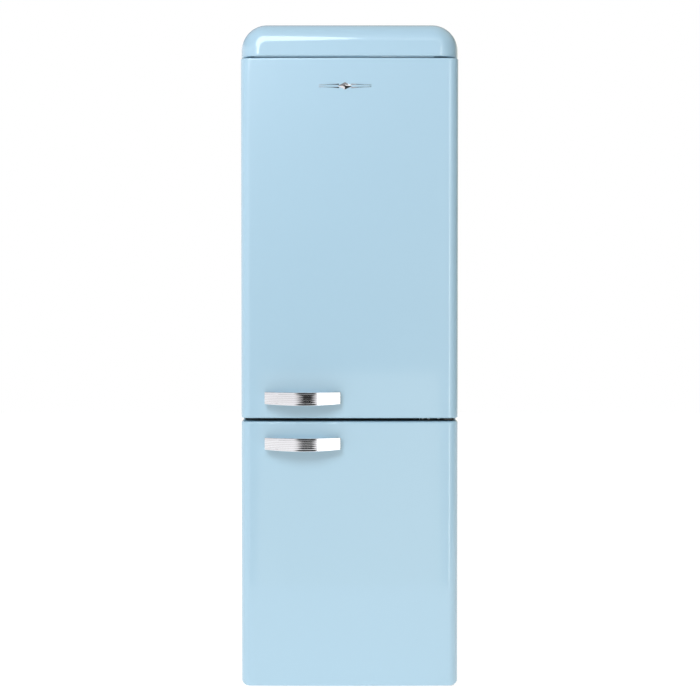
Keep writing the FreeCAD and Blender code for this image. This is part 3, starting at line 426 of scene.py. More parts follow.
# %% Door panels
DOOR_CORNER = 27.0
DOOR_CROWN = 3.0
EDGE_ROUND = 4.5
SIDE_ROUND = 1.4         # the same edge where it runs along the door's sides
FREEZER_BOTTOM_SIDE_ROUND = 12.0
END_DEPTH = 5.0          # how deep the end plates reach into the skin
END_PLATE = 0.6          # the end plates stand this far out of the skin's ends
LINER_STEP = 1.0         # the liner's rim stands this far behind the skin
FADE_STEP = 8.0          # the rounding fades out over three of these steps, towards the back
# lines beside a rounding keep the flat faces next to it flat in their shading
BESIDE = 0.4             # this far beyond the rounding, along the straight side
FLAT_END = 1.5           # and this far inside it, on the flat end
reach = HALF_WIDTH - DOOR_CORNER
CROWN_RADIUS = (reach ** 2 + DOOR_CROWN ** 2) / (2 * DOOR_CROWN)


def door_half_plan():
    """The +X half of the plan from back to middle: points, outward normals and rounding weights."""
    turn = CROWN_RADIUS - DOOR_CORNER
    tilt = math.asin(reach / turn)
    corner_y = DOOR_FRONT + CROWN_RADIUS - turn * math.cos(tilt)
    fade_y = [DOOR_BACK - steps * FADE_STEP for steps in (1, 2, 3)]
    side_y = np.array([DOOR_BACK - LINER_STEP, *fade_y, corner_y + BESIDE])
    side = np.column_stack([np.full(len(side_y), HALF_WIDTH), side_y])
    corner_angle = np.linspace(0, math.pi / 2 - tilt, 26)
    corner_normal = np.column_stack([np.cos(corner_angle), -np.sin(corner_angle)])
    corner = np.array([reach, corner_y]) + DOOR_CORNER * corner_normal
    crown_angle = np.concatenate([[tilt - BESIDE / CROWN_RADIUS], np.linspace(tilt, 0, 26)[1:]])
    crown_normal = np.column_stack([np.sin(crown_angle), -np.cos(crown_angle)])
    crown = np.array([0, DOOR_FRONT + CROWN_RADIUS]) + CROWN_RADIUS * crown_normal
    points = np.vstack([side, corner, crown])
    normals = np.vstack([np.tile([1.0, 0.0], (len(side), 1)), corner_normal, crown_normal])
    weight = np.ones(len(points))
    weight[:4] = (0.0, 0.33, 0.66, 1.0)
    return points, normals, weight


def door_plan(front, side):
    """The whole plan drawn inwards, by one inset on its front and by another on its sides."""
    points, normals, weight = door_half_plan()
    inset = weight * (side * normals[:, 0] ** 2 + front * normals[:, 1] ** 2)
    half = points - normals * inset[:, None]
    return np.vstack([half, half[-2::-1] * (-1, 1)])


def rounded_end(height, radius):
    """Inset of a quarter circle at a height over the end of the door."""
    left = max(radius - height, 0.0)
    return radius - math.sqrt(radius ** 2 - left ** 2)


def heights_round(radius, count):
    """Heights over the end of the door at which a quarter circle is cut into rings."""
    return radius * (1 - np.sin(np.radians(np.linspace(90, 0, count))))


def door_ring(height, side, z):
    return level(door_plan(rounded_end(height, EDGE_ROUND), rounded_end(height, side)), z)


def door_panel(name, bottom, top, bottom_side, body, node):
    """Rings over the flat bottom, round its edge, up the straight sides and over the top."""
    rises = heights_round(EDGE_ROUND, 10)
    low_rises = heights_round(bottom_side, 16) if bottom_side > EDGE_ROUND else rises
    straight = np.linspace(bottom + low_rises[-1], top - EDGE_ROUND, 12)
    straight[0], straight[-1] = straight[0] + BESIDE, straight[-1] - BESIDE
    rings = [level(door_plan(EDGE_ROUND + FLAT_END, bottom_side + FLAT_END), bottom)]
    rings += [door_ring(rise, bottom_side, bottom + rise) for rise in low_rises]
    rings += [level(door_plan(0, 0), z) for z in straight]
    rings += [door_ring(rise, SIDE_ROUND, top - rise) for rise in rises[::-1]]
    rings += [level(door_plan(EDGE_ROUND + FLAT_END, SIDE_ROUND + FLAT_END), top)]
    add_piece(name, [lofted(rings)], sky_enamel, body, (node,))


def door_end_plates(name, bottom, top, bottom_side, body, node):
    """Moulded plates that close the foam at the top and bottom, just proud of the skin's flat ends."""
    skins = []
    for outer, inner, side in ((bottom, bottom + END_DEPTH, bottom_side),
                               (top, top - END_DEPTH, SIDE_ROUND)):
        rings = [level(door_plan(EDGE_ROUND + more, side + more), z)
                 for more, z in ((3, inner), (3, outer * 0.9 + inner * 0.1), (3.6, outer), (5, outer))]
        skins.append(lofted(rings))
    add_piece(name, skins, sky_moulding, body, (node,))


DOORS = {"fridge": corners("fridge_door_end_caps"), "freezer": corners("freezer_door_end_caps")}
for which, (low, high) in DOORS.items():
    body = f"{which}_door"
    low_side = FREEZER_BOTTOM_SIDE_ROUND if which == "freezer" else SIDE_ROUND
    door_panel(f"{body}_panel", low[2] + END_PLATE, high[2] - END_PLATE, low_side, body, f"{body}_skin")
    door_end_plates(f"{body}_end_plates", low[2], high[2], low_side, body, f"{body}_end_caps")
    print(which, "door from", low[2], "to", high[2])

# %% [markdown]
# ## Top cap
# Seen from the front the cap is an arch: a straight top between two corners of 72 mm. Its
# front edge rolls over by 54 mm all the way round, like a pillow. So its rings are arches:
# the first ones grow along a quarter circle, and the rest run straight to the back.

# %% Top cap
CAP_LOW, CAP_HIGH = corners("top_cap")
CAP_SIDE_ROUND = 72.0
CAP_FRONT_ROUND = 54.0
CAP_BOTTOM_ROUND = 3.5
CAP_BACK_ROUND = 5.0
CAP_BESIDE = 0.5         # as with the doors, lines lie this far beside each rounding
LIP_LEFT = -262.0
LIP_TO_HINGE = 3.0
LIP_DROP = 2.0           # how far the lip hangs below the cap
# rings of the lip: how far they are drawn inwards, and how far they lie behind the cap's front
LIP_RINGS = ((0.6, 7.0), (0.15, 7.3), (0, 8.0), (0, 14.0), (0.6, 14.5))


def arch(inset, lift=0.0):
    """The cap's front view drawn inwards: two bottom corners and two top quarter circles."""
    half, top, bottom = CAP_HIGH[0] - inset, CAP_HIGH[2] - inset, CAP_LOW[2] + lift
    radius, foot = CAP_SIDE_ROUND - inset, CAP_BOTTOM_ROUND
    side = np.array([[half, bottom + foot + CAP_BESIDE], [half, top - radius - CAP_BESIDE]])
    right = np.vstack([arc((half - foot, bottom + foot), foot, -90, 0, 5), side,
                       arc((half - radius, top - radius), radius, 0, 90, 28)])
    across = np.concatenate([[half - radius - CAP_BESIDE], np.linspace(half - radius, 0, 10)[1:]])
    right = np.vstack([right, np.column_stack([across, np.full(len(across), top)])])
    under = np.column_stack([np.linspace(0, half - foot, 10)[:-1], np.full(9, bottom)])
    right = np.vstack([under, right])
    return np.vstack([right, right[-2:0:-1] * (-1, 1)])


def cap_rings():
    """Arches from the front to the back: round the front edge, straight, and round the back edge."""
    quarter = np.radians(np.linspace(90, 0, 28))
    insets = CAP_FRONT_ROUND * (1 - np.cos(quarter))
    depths = CAP_LOW[1] + CAP_FRONT_ROUND * (1 - np.sin(quarter))
    # the front's lower edge is rounded too: its height follows a small circle near the front
    near = np.clip(1 - (depths - CAP_LOW[1]) / CAP_BOTTOM_ROUND, 0, 1)
    lifts = CAP_BOTTOM_ROUND * (1 - np.sqrt(1 - near ** 2))
    rings = [upright(arch(CAP_FRONT_ROUND + FLAT_END, lifts[0] + FLAT_END), CAP_LOW[1])]
    rings += [upright(arch(d, lift), y) for d, lift, y in zip(insets, lifts, depths)]
    straight = np.linspace(depths[-1], CAP_HIGH[1] - CAP_BACK_ROUND, 8)
    straight[0], straight[-1] = straight[0] + CAP_BESIDE, straight[-1] - CAP_BESIDE
    rings += [upright(arch(0), y) for y in straight]
    for turn in np.radians(np.linspace(0, 90, 7)):
        y = CAP_HIGH[1] - CAP_BACK_ROUND * (1 - math.sin(turn))
        rings.append(upright(arch(CAP_BACK_ROUND * (1 - math.cos(turn))), y))
    rings += [upright(arch(CAP_BACK_ROUND + FLAT_END, FLAT_END), CAP_HIGH[1])]
    return rings


def drip_lip():
    """A low lip under the cap, behind its front: without it the gap over the door looks deep."""
    right = corners("top_hinge")[0][0] - LIP_TO_HINGE
    low_z, high_z = CAP_LOW[2] - LIP_DROP, CAP_LOW[2] + 2
    return lofted([upright(rounded_rectangle(LIP_LEFT + d, right - d, low_z + d, high_z - d, 1.0, 4),
                           CAP_LOW[1] + back) for d, back in LIP_RINGS])


add_piece("top_cap_shell", [lofted(cap_rings()), drip_lip()], sky_enamel, "cabinet", ("top_cap",))

# %% [markdown]
# ## Handles
# A handle is one casting: a bar that bows away from the door, on two feet. Its front is
# reeded: five shallow ribs run along the middle, between two plain bands. The shape is a
# section in depth and height that changes along the length, so its rings stand side by side.
# Circles describe both the bow and each rib.

# %% Handles
HANDLE_LOW, HANDLE_HIGH = corners("fridge_handle")
HANDLE_HALF = (HANDLE_HIGH[0] - HANDLE_LOW[0]) / 2
HANDLE_MIDDLE = (HANDLE_HIGH[0] + HANDLE_LOW[0]) / 2
STAND_OFF = DOOR_FRONT - HANDLE_LOW[1]
BOW = 24.0               # how much further out the middle is than the ends
BAR = 11.0               # depth of the bar
FOOT_LENGTH = 24.0
FOOT_BLEND = 9.0         # the bar's back runs into the foot over this length
FOOT_SINK = 3.0          # a foot reaches this far behind the front of the door
LEAN_ROOM = 0.4          # room for the lower band, which leans outwards
LONG_EDGE = 1.3          # roundings of the long edges, of the ends and of the back
END_EDGE = 1.6
BACK_EDGE = 1.5
REEDS = 5
REED_ANGLE = math.radians(18)    # slope of a rib's side where it meets the next one
PLAIN_BAND = 5.2
TOP_LEAN, LOW_LEAN = 0.05, -0.07    # both plain bands face a little upwards
SAG = 3.0                # the underside hangs this much lower in the middle
BOW_RADIUS = (HANDLE_HALF ** 2 + BOW ** 2) / (2 * BOW)


def bow(x):
    """How far the front of the bar stands out: a circle through both ends and the middle."""
    return STAND_OFF - BOW_RADIUS + np.sqrt(BOW_RADIUS ** 2 - x ** 2)


def reeded_front(across, height):
    """Depth of the front at places from 0 to 1 of its height: arcs between two plain, leaning bands."""
    band = PLAIN_BAND / height
    pitch = (height - 2 * PLAIN_BAND) / REEDS
    offset = ((across - band) / (1 - 2 * band) * REEDS % 1 - 0.5) * pitch
    radius = pitch / 2 / math.sin(REED_ANGLE)
    arcs = radius - np.sqrt(radius ** 2 - offset ** 2)
    plain = np.maximum(band - across, across - (1 - band)) * height
    return np.where(plain > 0, plain * np.where(across > 0.5, TOP_LEAN, LOW_LEAN), arcs)


def handle_ring(x, bottom, top, shrink):
    """One section: a reeded front from bottom to top, then the rounded top, back and underside."""
    outer = bow(x) - shrink
    foot = np.clip((abs(x) - (HANDLE_HALF - FOOT_LENGTH)) / FOOT_BLEND, 0, 1)
    foot = foot * foot * (3 - 2 * foot)
    inner = (bow(x) - BAR) * (1 - foot) - FOOT_SINK * foot
    height = top - bottom
    half, centre = height / 2 - shrink, (top + bottom) / 2
    across = np.concatenate([[0, 0.004, 0.012, 0.024], np.linspace(0.04, 0.96, 93),
                             [0.976, 0.988, 0.996, 1]])
    z = (across * 2 - 1) * half
    rim = 1 - np.clip((half - np.abs(z)) / LONG_EDGE, 0, 1)
    edge = LONG_EDGE * (1 - np.sqrt(1 - rim ** 2))
    front = outer - LEAN_ROOM - reeded_front(across, height) - edge
    back_z = np.array([half, half - BACK_EDGE, 0.0, -half + BACK_EDGE, -half])
    back = np.array([inner + BACK_EDGE, inner, inner, inner, inner + BACK_EDGE])
    depth = np.concatenate([front, back])
    heights = np.concatenate([z, back_z]) + centre
    return np.column_stack([np.full(len(depth), HANDLE_MIDDLE + x), DOOR_FRONT - depth, heights])


def handle_skin(low_z, high_z):
    """Rings from end to end. The last ones shrink along a quarter circle, which rounds the ends."""
    quarter = np.radians(np.linspace(0, 90, 6))
    ends = HANDLE_HALF - END_EDGE * (1 - np.sin(quarter))
    feet = np.linspace(HANDLE_HALF - END_EDGE - 0.3, HANDLE_HALF - FOOT_LENGTH - 2, 18)
    half = np.concatenate([ends[::-1], feet, np.linspace(feet[-1], 0, 24)[1:]])
    shrink = np.concatenate([END_EDGE * (1 - np.cos(quarter))[::-1], np.zeros(len(half) - len(ends))])
    x, shrink = np.concatenate([half, -half[-2::-1]]), np.concatenate([shrink, shrink[-2::-1]])
    sag = SAG * (x / HANDLE_HALF) ** 2
    return lofted([handle_ring(place, low_z + rise, high_z, s)
                   for place, s, rise in zip(x, shrink, sag)])


for which in DOORS:
    low, high = corners(f"{which}_handle")
    add_piece(f"{which}_handle_casting", [handle_skin(low[2], high[2])], chrome_plate, f"{which}_door",
              (f"{which}_handle",))

# %% [markdown]
# ## Ornament
# A small chromed ornament sits near the top of the fridge door: a faceted lozenge between
# two pairs of tapering bars. It is plain, with no lettering.

# %% Ornament on the fridge door
BADGE_LOW, BADGE_HIGH = corners("badge")
# a bar tapers from its start, beside the lozenge, to its tip: both sizes in millimetres
START_ROW, TIP_ROW = 4.6, 2.4        # how far its middle line lies over or under the ornament's
START_HALF, TIP_HALF = 1.6, 0.7      # half of its height


def raised(outline, height, tip=0.0):
    """A low roof over an outline in x and z: it narrows towards its ridge as it leaves the door."""
    centre = outline.mean(0)
    base = DOOR_FRONT + 2.0
    rings = [upright(outline, base), upright(outline, DOOR_FRONT - height * 0.25)]
    for s in (0.35, 0.7, 0.92):
        narrowed = centre + (outline - centre) * (1 - s * (1 - tip))
        rings.append(upright(narrowed, DOOR_FRONT - height * (0.25 + 0.75 * s)))
    return lofted(rings)


def ornament():
    middle = (BADGE_LOW + BADGE_HIGH) / 2
    length, height = (BADGE_HIGH - BADGE_LOW)[[0, 2]]
    proud = DOOR_FRONT - BADGE_LOW[1]
    lozenge = np.array([(height, 0), (0, height / 2), (-height, 0), (0, -height / 2)])
    skins = [raised(rounded_path(lozenge, 1.5, 4, closed=True) + middle[[0, 2]], proud, 0.15)]
    start = height * 0.62 + 4
    for side in (-1, 1):
        for row in (-1, 1):
            near, far = row * START_ROW, row * TIP_ROW
            bar = np.array([(start, near - START_HALF), (length / 2, far - TIP_HALF),
                            (length / 2, far + TIP_HALF), (start, near + START_HALF)]) * (side, 1)
            outline = rounded_path(bar, 0.6, 3, closed=True) + middle[[0, 2]]
            skins.append(raised(outline, proud * 0.8, 0.3))
    return skins


add_piece("ornament", ornament(), chrome_plate, "fridge_door", ("badge",))

# %% [markdown]
# ## Gaskets
# A gasket is an extruded vinyl section, mitred and welded at four corners. Seen in section
# it has a pocket for the magnet strip, soft folds behind it, and a foot that presses into
# the door. The section is carried round the frame, and turns at the corners. Its grey is
# made darker than usual, so that it also paints shade into the gaps between the doors.

# %% Gaskets
# the section as (inwards from the edge, back from the door) in millimetres: up its inner side
# from the foot to the magnet pocket, and down its outer side
INNER_SIDE = [(3, 0), (15, 0), (15, 2.5), (12, 3.5), (16, 5), (12.5, 6.5), (17.5, 8)]
OUTER_SIDE = [(0.5, 8), (5.5, 6.5), (2, 5), (6, 3.5), (3, 2.5)]


def gasket_skin(node):
    """The section carried round the frame: each ring lies in the mitre of one corner."""
    low, high = corners(node)
    depth = high[1] - low[1]
    pocket = [(17.5, depth), (0.5, depth)]
    across, out = rounded_path(INNER_SIDE + pocket + OUTER_SIDE, 1.2, 3, closed=True).T
    rings = []
    for side_x, side_z in ((1, 1), (-1, 1), (-1, -1), (1, -1)):
        x = side_x * (high[0] - across)
        z = high[2] - across if side_z > 0 else low[2] + across
        rings.append(np.column_stack([x, low[1] + out, z]))
    return lofted(rings, endless=True)


for which in DOORS:
    add_piece(f"{which}_door_seal", [gasket_skin(f"{which}_door_gasket")], gasket_vinyl_and_gap_shade, f"{which}_door",
              (f"{which}_door_gasket",))

# %% [markdown]
# ## Inner faces of the doors
# The inside of a door is one sheet of polystyrene, drawn over a mould. Its height above the
# rim is a sum of smooth steps: one raised field that enters the cabinet, and on the fridge
# door two tall ribs that carry the shelves. Grid lines crowd together where the height
# changes, so that the walls stay smooth without wasting faces on the flat parts.

# %% Door liners
def step(value, start, width):
    """Smooth step from 0 to 1 that starts at a place and takes a width: 3 t squared minus 2 t cubed."""
    t = np.clip((value - start) / width, 0, 1)
    return t * t * (3 - 2 * t)


def lines(low, high, walls, width, gap=24.0):
    """Grid lines: spread evenly, and close together across each wall."""
    even = np.linspace(low, high, int((high - low) / gap) + 2)
    crowded = np.concatenate([np.linspace(w - 0.2 * width, w + 1.2 * width, 12) for w in walls])
    keep = np.abs(even[:, None] - crowded[None, :]).min(1) > 2.0
    keep[[0, -1]] = True
    merged = np.sort(np.concatenate([even[keep], crowded]))
    merged = merged[(merged >= low) & (merged <= high)]
    return merged[np.concatenate([[True], np.diff(merged) > 0.02])]


PLUG_HALF = 232.5        # half width of the raised field
WALL = 4.0               # width of a formed wall, seen from the front
RIB_INNER = 213.0        # the ribs run from here to the field's edge
RIB_END = 14.0           # and stop this far from its top and bottom
FIELD_MARGIN, FIELD_WALL, FIELD_DEPTH = 34, 14, 5.0


def door_liner(which, z0, z1, ribs):
    """A raised field from z0 to z1. Ribs give its depth and their own on it; None sinks its middle."""
    low, high = corners(f"{which}_door_liner")
    rib_start = RIB_INNER - 1.5
    walls_x = [-PLUG_HALF, PLUG_HALF - WALL]
    if ribs:
        walls_x += [-RIB_INNER - 1.5, rib_start]
    x = lines(-high[0], high[0], walls_x, WALL)
    z = lines(low[2] + 0.5, high[2] - 0.5, [z0, z1 - WALL, z0 + RIB_END, z1 - RIB_END - WALL], WALL)
    grid_x, grid_z = np.meshgrid(x, z)
    side = np.abs(grid_x)
    inside_x = step(-side, -PLUG_HALF, WALL)
    plug_depth = ribs[0] if ribs else high[1] - DOOR_BACK
    height = plug_depth * inside_x * (step(grid_z, z0, WALL) * step(-grid_z, -z1, WALL))
    if ribs:
        rib = step(side, rib_start, 3.0) * inside_x
        ends = step(grid_z, z0 + RIB_END, WALL), step(-grid_z, -z1 + RIB_END, WALL)
        height = height + ribs[1] * rib * ends[0] * ends[1]
    else:
        # shallow sunk field that stiffens the freezer's sheet
        field = step(-side, -PLUG_HALF + FIELD_MARGIN, FIELD_WALL)
        for value, start in ((grid_z, z0), (-grid_z, -z1)):
            field = field * step(value, start + FIELD_MARGIN, FIELD_WALL)
        height = height - FIELD_DEPTH * field
    add_piece(f"{which}_door_inner_face", [relief(x, z, DOOR_BACK + height, DOOR_BACK - 2.0)],
              white_liner, f"{which}_door", (f"{which}_door_liner", f"{which}_door_foam"),
              crease=50)


door_liner("fridge", 800.0, 1704.0, (24.0, 46.0))
door_liner("freezer", 95.0, 727.0, None)

# %% [markdown]
# ## Trays and drawers
# Door shelves and drawers are injection moulded. Their walls lean outwards a little, so that
# they leave the mould, and every edge is round. One row of rings makes a whole tray: up the
# outside, over the rim in a half circle, down the inside, and to the middle of the floor.
# A drawer's front is a plate with a sunk grip.

# %% Moulded trays and drawer fronts
def tray_skin(low, high, wall, corner, draft=3.0):
    """Rounded rectangles: the inset falls from the draft to 0 at the rim, then grows on the inside."""
    (x0, y0, z0), (x1, y1, z1) = low, high
    foot = 4.0           # radius where the walls meet the floor
    height = z1 - z0
    turn = np.radians(np.linspace(0, 90, 6))
    parts = (0.05, 0.3, 0.6, 0.9, 0.99)      # where the rings lie along a wall
    profile = [(draft + foot + 8, 0.0)]
    profile += [(draft + foot * (1 - math.sin(t)), foot * (1 - math.cos(t))) for t in turn]
    profile += [(draft * (1 - h), foot + h * (height - foot - wall / 2)) for h in parts]
    profile += [(wall / 2 * (1 - math.cos(t)), height - wall / 2 * (1 - math.sin(t)))
                for t in np.radians(np.linspace(0, 180, 7))]
    profile += [(wall + draft * (1 - h), wall + foot + h * (height - foot - 1.5 * wall))
                for h in reversed(parts)]
    profile += [(wall + draft + foot * (1 - math.cos(t)), wall + foot * (1 - math.sin(t))) for t in turn]
    profile += [(wall + draft + foot + 8, wall)]
    rings = [level(rounded_rectangle(x0 + d, x1 - d, y0 + d, y1 - d, max(corner - d, 1.0), 7), z0 + h)
             for d, h in profile]
    return lofted(rings)


def front_skin(x0, x1, y0, y1, z0, z1, grip_half, grip_low, grip_high, sink):
    """Drawer front as depths on a grid: round edges, and smooth steps down into the grip."""
    edge, wall = 3.5, 8
    x = lines(x0, x1, [x0, x1 - 4, -grip_half, grip_half - wall], wall)
    z = lines(z0, z1, [z0, z1 - 4, grip_low, grip_high - wall], wall)
    grid_x, grid_z = np.meshgrid(x, z)
    to_edge = np.minimum(np.minimum(grid_x - x0, x1 - grid_x), np.minimum(grid_z - z0, z1 - grid_z))
    rim = 1 - np.clip(to_edge / edge, 0, 1)
    grip = step(-np.abs(grid_x), -grip_half, wall)
    grip = grip * step(grid_z, grip_low, wall) * step(-grid_z, -grip_high, wall)
    return relief(x, z, y0 + edge * (1 - np.sqrt(1 - rim ** 2)) + sink * grip, y1)


for name in ("bottle_balcony", "middle_balcony", "upper_balcony"):
    skin = tray_skin(*corners(name), 2.5, 16.0)
    add_piece(f"{name}_moulding", [skin], clear_polystyrene, "fridge_door", (name,))

low, high = corners("crisper_drawer")
grip_y = low[1] + 9
top = high[2]
skins = [tray_skin((low[0], grip_y, low[2]), high, 3.0, 18.0, 5.0),
         front_skin(-74, 74, low[1], grip_y, top - 30, top - 4, 64, top - 27, top - 7, 2.0)]
add_piece("crisper_moulding", skins, clear_polystyrene, "crisper", ("crisper_drawer",))

for where in ("top", "middle", "bottom"):
    name = f"freezer_drawer_{where}"
    low, high = corners(name)
    front, top = low[1] + 8, high[2]
    skins = [tray_skin((low[0] + 4, front, low[2]), (high[0] - 4, high[1], top - 18), 3.0, 14.0, 6.0),
             front_skin(low[0], high[0], low[1], front, low[2], top, 82, top - 52, top - 16, 4.0)]
    add_piece(f"{name}_moulding", skins, clear_polystyrene, f"drawer_{where}", (name,))

# %% [markdown]
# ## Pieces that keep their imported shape
# Bent sheets, tubes, hinges and wheels already have the right shape, but their triangles are
# loose, so light breaks at every one. A merged copy shades smoothly, and a Bevel modifier
# rounds the edges that a press or a mould would leave round. Weighted normals keep large
# flat faces flat where they meet a rounding. Three nodes are shown just as they were packed:
# they only get their finish.

# %% Merged copies with soft edges
BODIES = frame["record"]["behaviour"]["bodies"]
BODY_OF = {node: body for body, nodes in BODIES.items() for node in nodes}


def finished_copy(node, finish, bevel_mm=0.0, crease=30):
    mesh = frame["nodes"][node].data.copy()
    mesh.name = f"{node}_finished"
    work = bmesh.new()
    work.from_mesh(mesh)
    bmesh.ops.remove_doubles(work, verts=work.verts, dist=2e-6)
    if bevel_mm:
        bmesh.ops.dissolve_limit(work, angle_limit=math.radians(0.4), verts=work.verts, edges=work.edges)
    work.to_mesh(mesh)
    work.free()
    mesh.shade_smooth()
    mesh.set_sharp_from_angle(angle=math.radians(crease))
    mesh.materials.clear()
    mesh.materials.append(finish)
    piece = new_object(mesh.name, mesh)
    if bevel_mm:
        bevel = piece.modifiers.new("Bevel", "BEVEL")
        bevel.width, bevel.segments, bevel.limit_method = bevel_mm * MM, 2, "ANGLE"
        bevel.angle_limit = math.radians(45)
    piece.modifiers.new("Weighted normals", "WEIGHTED_NORMAL").keep_sharp = True
    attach(piece, BODY_OF[node])
    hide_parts(node)


# each finish, then its nodes with the width of their rounded edges in millimetres
COPIES = [
    (sky_enamel, {"cabinet_wrap": 0}),
    (zinc_sheet, {"base_pan": 0, "compressor_base": 0, "machine_side_plates": 0,
                  "roller_brackets": 0.4}),
    (hinge_steel, {"top_hinge": 0.4, "bottom_hinge": 0.4, "hinge_screws": 0.4}),
    (white_liner, {"fridge_liner": 0, "freezer_liner": 0}),
    (white_moulding, {"shelf_trims": 0, "control_housing": 1.2, "thermostat_knob": 0.8,
                      "switch_plunger": 0}),
    (black_moulding, {"terminal_cover": 1.2, "evaporating_tray": 0.6, "cord_gland": 1.0,
                      "condenser_brackets": 1.2, "drain_tube": 0, "front_foot_right": 0,
                      "front_foot_left": 0}),
    (black_rubber, {"compressor_grommets": 0.8, "rear_roller_right": 0, "rear_roller_left": 0}),
    # the middle hinge is black only as painted shade of the gap beside it; compressor and condenser really
    # are black
    (black_paint_and_gap_shade, {"middle_hinge": 0.4, "compressor": 0.6, "condenser_tube": 0, "condenser_wires": 0}),
    (coated_white, {"freezer_evaporator": 0}),
    (copper_tube, {"refrigerant_tubes": 0, "filter_drier": 0}),
    (shelf_glass, {"shelf_1": 0.7, "shelf_2": 0.7, "shelf_3": 0.7, "crisper_cover": 0.7}),
    (lamp_polystyrene, {"lamp_lens": 0}),
]
for finish, nodes in COPIES:
    for node, bevel_mm in nodes.items():
        finished_copy(node, finish, bevel_mm)
print("copies", sum(len(nodes) for _, nodes in COPIES))

# %% Finishes for meshes that stay as packed
AS_PACKED = {"back_panel": zinc_sheet, "fridge_evaporator": aluminium_sheet, "cabinet_foam": foam_core}
for node, finish in AS_PACKED.items():
    mesh = frame["nodes"][node].data
    mesh.materials.clear()
    mesh.materials.append(finish)

# %% [markdown]
# ## Crossbar strip of painted shade
# Between the two seals the cabinet's front is a narrow crossbar. A black strip covers it, which paints the
# shade deep in the gap between the doors.

# %% Crossbar strip, painted shade
hinge_low, hinge_high = corners("middle_hinge")


def crossbar_shade_skin():
    left, right = 6 - HALF_WIDTH, hinge_low[0] - 2
    low_z, high_z = hinge_low[2], hinge_high[2]
    return lofted([upright(rounded_rectangle(left + d, right - d, low_z + d, high_z - d, 3),
                           CABINET_FRONT - out)
                   for d, out in ((0, 0), (0, 0.5), (0.4, 1.0), (1.0, 1.2), (3, 1.2))])


# a black strip that paints the shade deep in the gap between the doors
add_piece("crossbar_strip", [crossbar_shade_skin()], black_moulding, "cabinet", ())

# %% [markdown]
# ## Floor and room
# A plain pale floor runs to a white surround. Gloss shows whatever stands round it, so the
# room is part of the look: it is white on both sides, with a dark oval behind the camera.
# Without the oval, chrome and enamel would only mirror white and look flat. The right side
# is dimmer, so the right edge of the door turns darker.

# %% Floor
SPECK_MM = 40


def floor():
    """An opal acrylic light table, lit from below too, so that shadows on it stay pale."""
    made, tree, shader, place = new_finish("opal_acrylic_floor", Roughness=0.9, Emission_Strength=0.85)
    shader.inputs["Emission Color"].default_value = (1.0, 1.0, 1.0, 1.0)
    colour_from(tree, shader, noise(tree, place, SPECK_MM, 3.0), "#aaaaaa", "#b0b0b0")
    mesh = bpy.data.meshes.new("studio_floor")
    mesh.from_pydata([(-9, -1.6, 0), (9, -1.6, 0), (9, 9, 0), (-9, 9, 0)], [], [(0, 1, 2, 3)])
    mesh.materials.append(made)
    plane = new_object("studio_floor", mesh)


floor()

# %% Surround
DARK_MIDDLE = math.radians(6)    # azimuth of the dark oval's middle
DARK_HEIGHT = 0.45               # how soon it narrows, as the upward part of a direction
DARK_LEFT, DARK_RIGHT = math.radians(-60), math.radians(50)
# how bright the room is at each azimuth in degrees: 0 is in front of the doors, + is to the right
ROOM = [(-180, 1.0), (-125, 1.0), (-100, 1.0), (-60, 0.9), (-14, 1.0), (-7, 0.03), (15, 0.03), (18, 1.0),
        (38, 0.7), (50, 0.2), (60, 0.1), (115, 0.1), (135, 0.95), (180, 1.0)]


